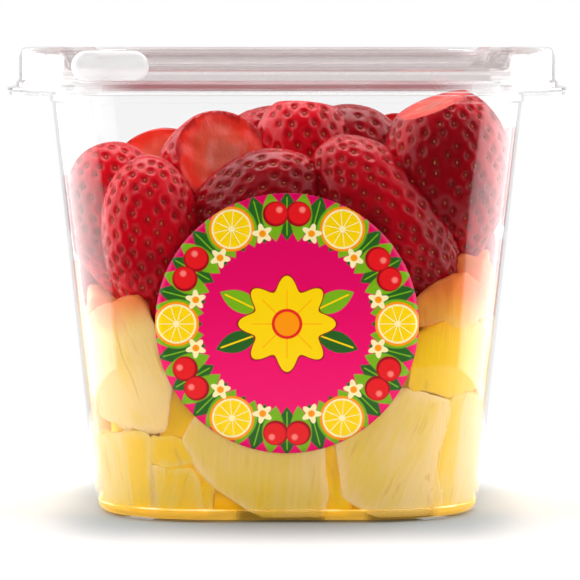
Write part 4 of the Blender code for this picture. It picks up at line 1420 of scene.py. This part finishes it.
# %% Cores
PINEAPPLE_CORE_INSET, PINEAPPLE_CORE_TOP = 4.5 * MM, 45 * MM
BERRY_CORE_HALF, BERRY_CORE_BOTTOM, BERRY_CORE_TOP = 38 * MM, 52 * MM, 75 * MM
CORE_LUMP, CORE_LUMP_SIZE, CORE_SHADE = 1.5 * MM, 0.12, 0.8
CORE_STEPS = 12


def core(name, rows, colour, node, painted_glow=0.0):
    bm = bent_grid(rows)
    for vert in bm.verts:
        lump = 1 + noise.noise(vert.co / MM * CORE_LUMP_SIZE) * CORE_LUMP / BERRY_CORE_HALF
        vert.co.x *= lump
        vert.co.y *= lump
    finish = Finish(name, Roughness=0.5, Specular_IOR_Level=0.15, Subsurface_Weight=0.1,
                    Subsurface_Scale=0.002, Emission_Color=colour, Emission_Strength=painted_glow)
    tone = finish.cloud(finish.object_place(), 120.0).rise(0.3, 0.7)
    shaded = (*(CORE_SHADE * channel for channel in colour[:3]), 1.0)
    finish.feed("Base Color", finish.blend(tone, colour, shaded))
    piece(name, bm, [finish], node)


def levels(bottom, top):
    return [bottom + (top - bottom) * step / CORE_STEPS for step in range(CORE_STEPS + 1)]


# painted shade: the strawberry core is darker than any skin; painted glow: the pineapple core glows
# faintly
core("strawberry_core",
     [outline(BERRY_CORE_HALF, MOUTH_RADIUS, z) for z in levels(BERRY_CORE_BOTTOM, BERRY_CORE_TOP)],
     paint(110, 2, 10), "strawberry_heap")
core("pineapple_core",
     [wall_outline(z, -WALL - PINEAPPLE_CORE_INSET) for z in levels(HEAP_FLOOR, PINEAPPLE_CORE_TOP)],
     paint(244, 192, 24), "pineapple_heap", painted_glow=0.16)

# %% [markdown]
# Juice has run down and stands a few millimetres deep round the lowest pieces. It reaches just into
# the wall, so no air shows between them, and its edge climbs the wall a little, with a pale painted
# highlight along it. The juice has a faint painted glow too. Where a big piece presses on the front
# wall, hardly any juice is left before it.

# %% Juice
JUICE_LEVEL, JUICE_CLIMB = 2.6 * MM, 0.6 * MM
# middle and half width, in millimetres, of the two big pieces whose feet press on the front wall
PRESSED_FEET = ((-1.5, 10.5), (27, 8))
INTO_WALL = 0.15 * MM
# how far back from the wall the surface is followed, and how much of the climb is left there
CLIMB_LEFT = ((0.5 * MM, 0.45), (1.0 * MM, 0.15), (1.8 * MM, 0.0))


def juice_finish():
    # painted glow: the juice gives off a faint golden light, which stands in for light coming through it
    finish = Finish("pineapple juice", Roughness=0.1, IOR=1.34, Subsurface_Weight=1.0,
                    Subsurface_Radius=(1.0, 0.75, 0.2), Subsurface_Scale=0.005,
                    Emission_Color=paint(251, 202, 86), Emission_Strength=0.72)
    # edge: a pale painted highlight along the juice's top, where it climbs the wall
    edge = finish.along("Z").rise(2.65, 2.95) * finish.cloud(finish.object_place(), 90.0).rise(0.35, 0.6)
    across = finish.along("X")
    pressed = sum(abs(across - middle).under(half, 1.5) for middle, half in PRESSED_FEET)
    finish.feed("Base Color", finish.blend(edge, paint(250, 206, 64), paint(255, 244, 214)))
    cover = (0.24 + 0.4 * edge + 0.25 * finish.facing() ** 3.0) * (1 - 0.75 * pressed)
    finish.see_through(cover, paint(255, 248, 222))
    return finish


def make_juice():
    skin = WALL - INTO_WALL
    rows = [outline(PUSH_UP_HALF, PUSH_UP_RADIUS, PUSH_UP + skin)]
    rows += [outline(FOOT_INNER, PUSH_UP_RADIUS, skin)]
    rows += foot_curve(skin)
    rows += [wall_outline(JUICE_LEVEL + JUICE_CLIMB, -skin)]
    rows += [wall_outline(JUICE_LEVEL + JUICE_CLIMB * left, -skin - back) for back, left in CLIMB_LEFT]
    piece("juice", bent_grid(rows), [juice_finish()], "pineapple_heap")


make_juice()
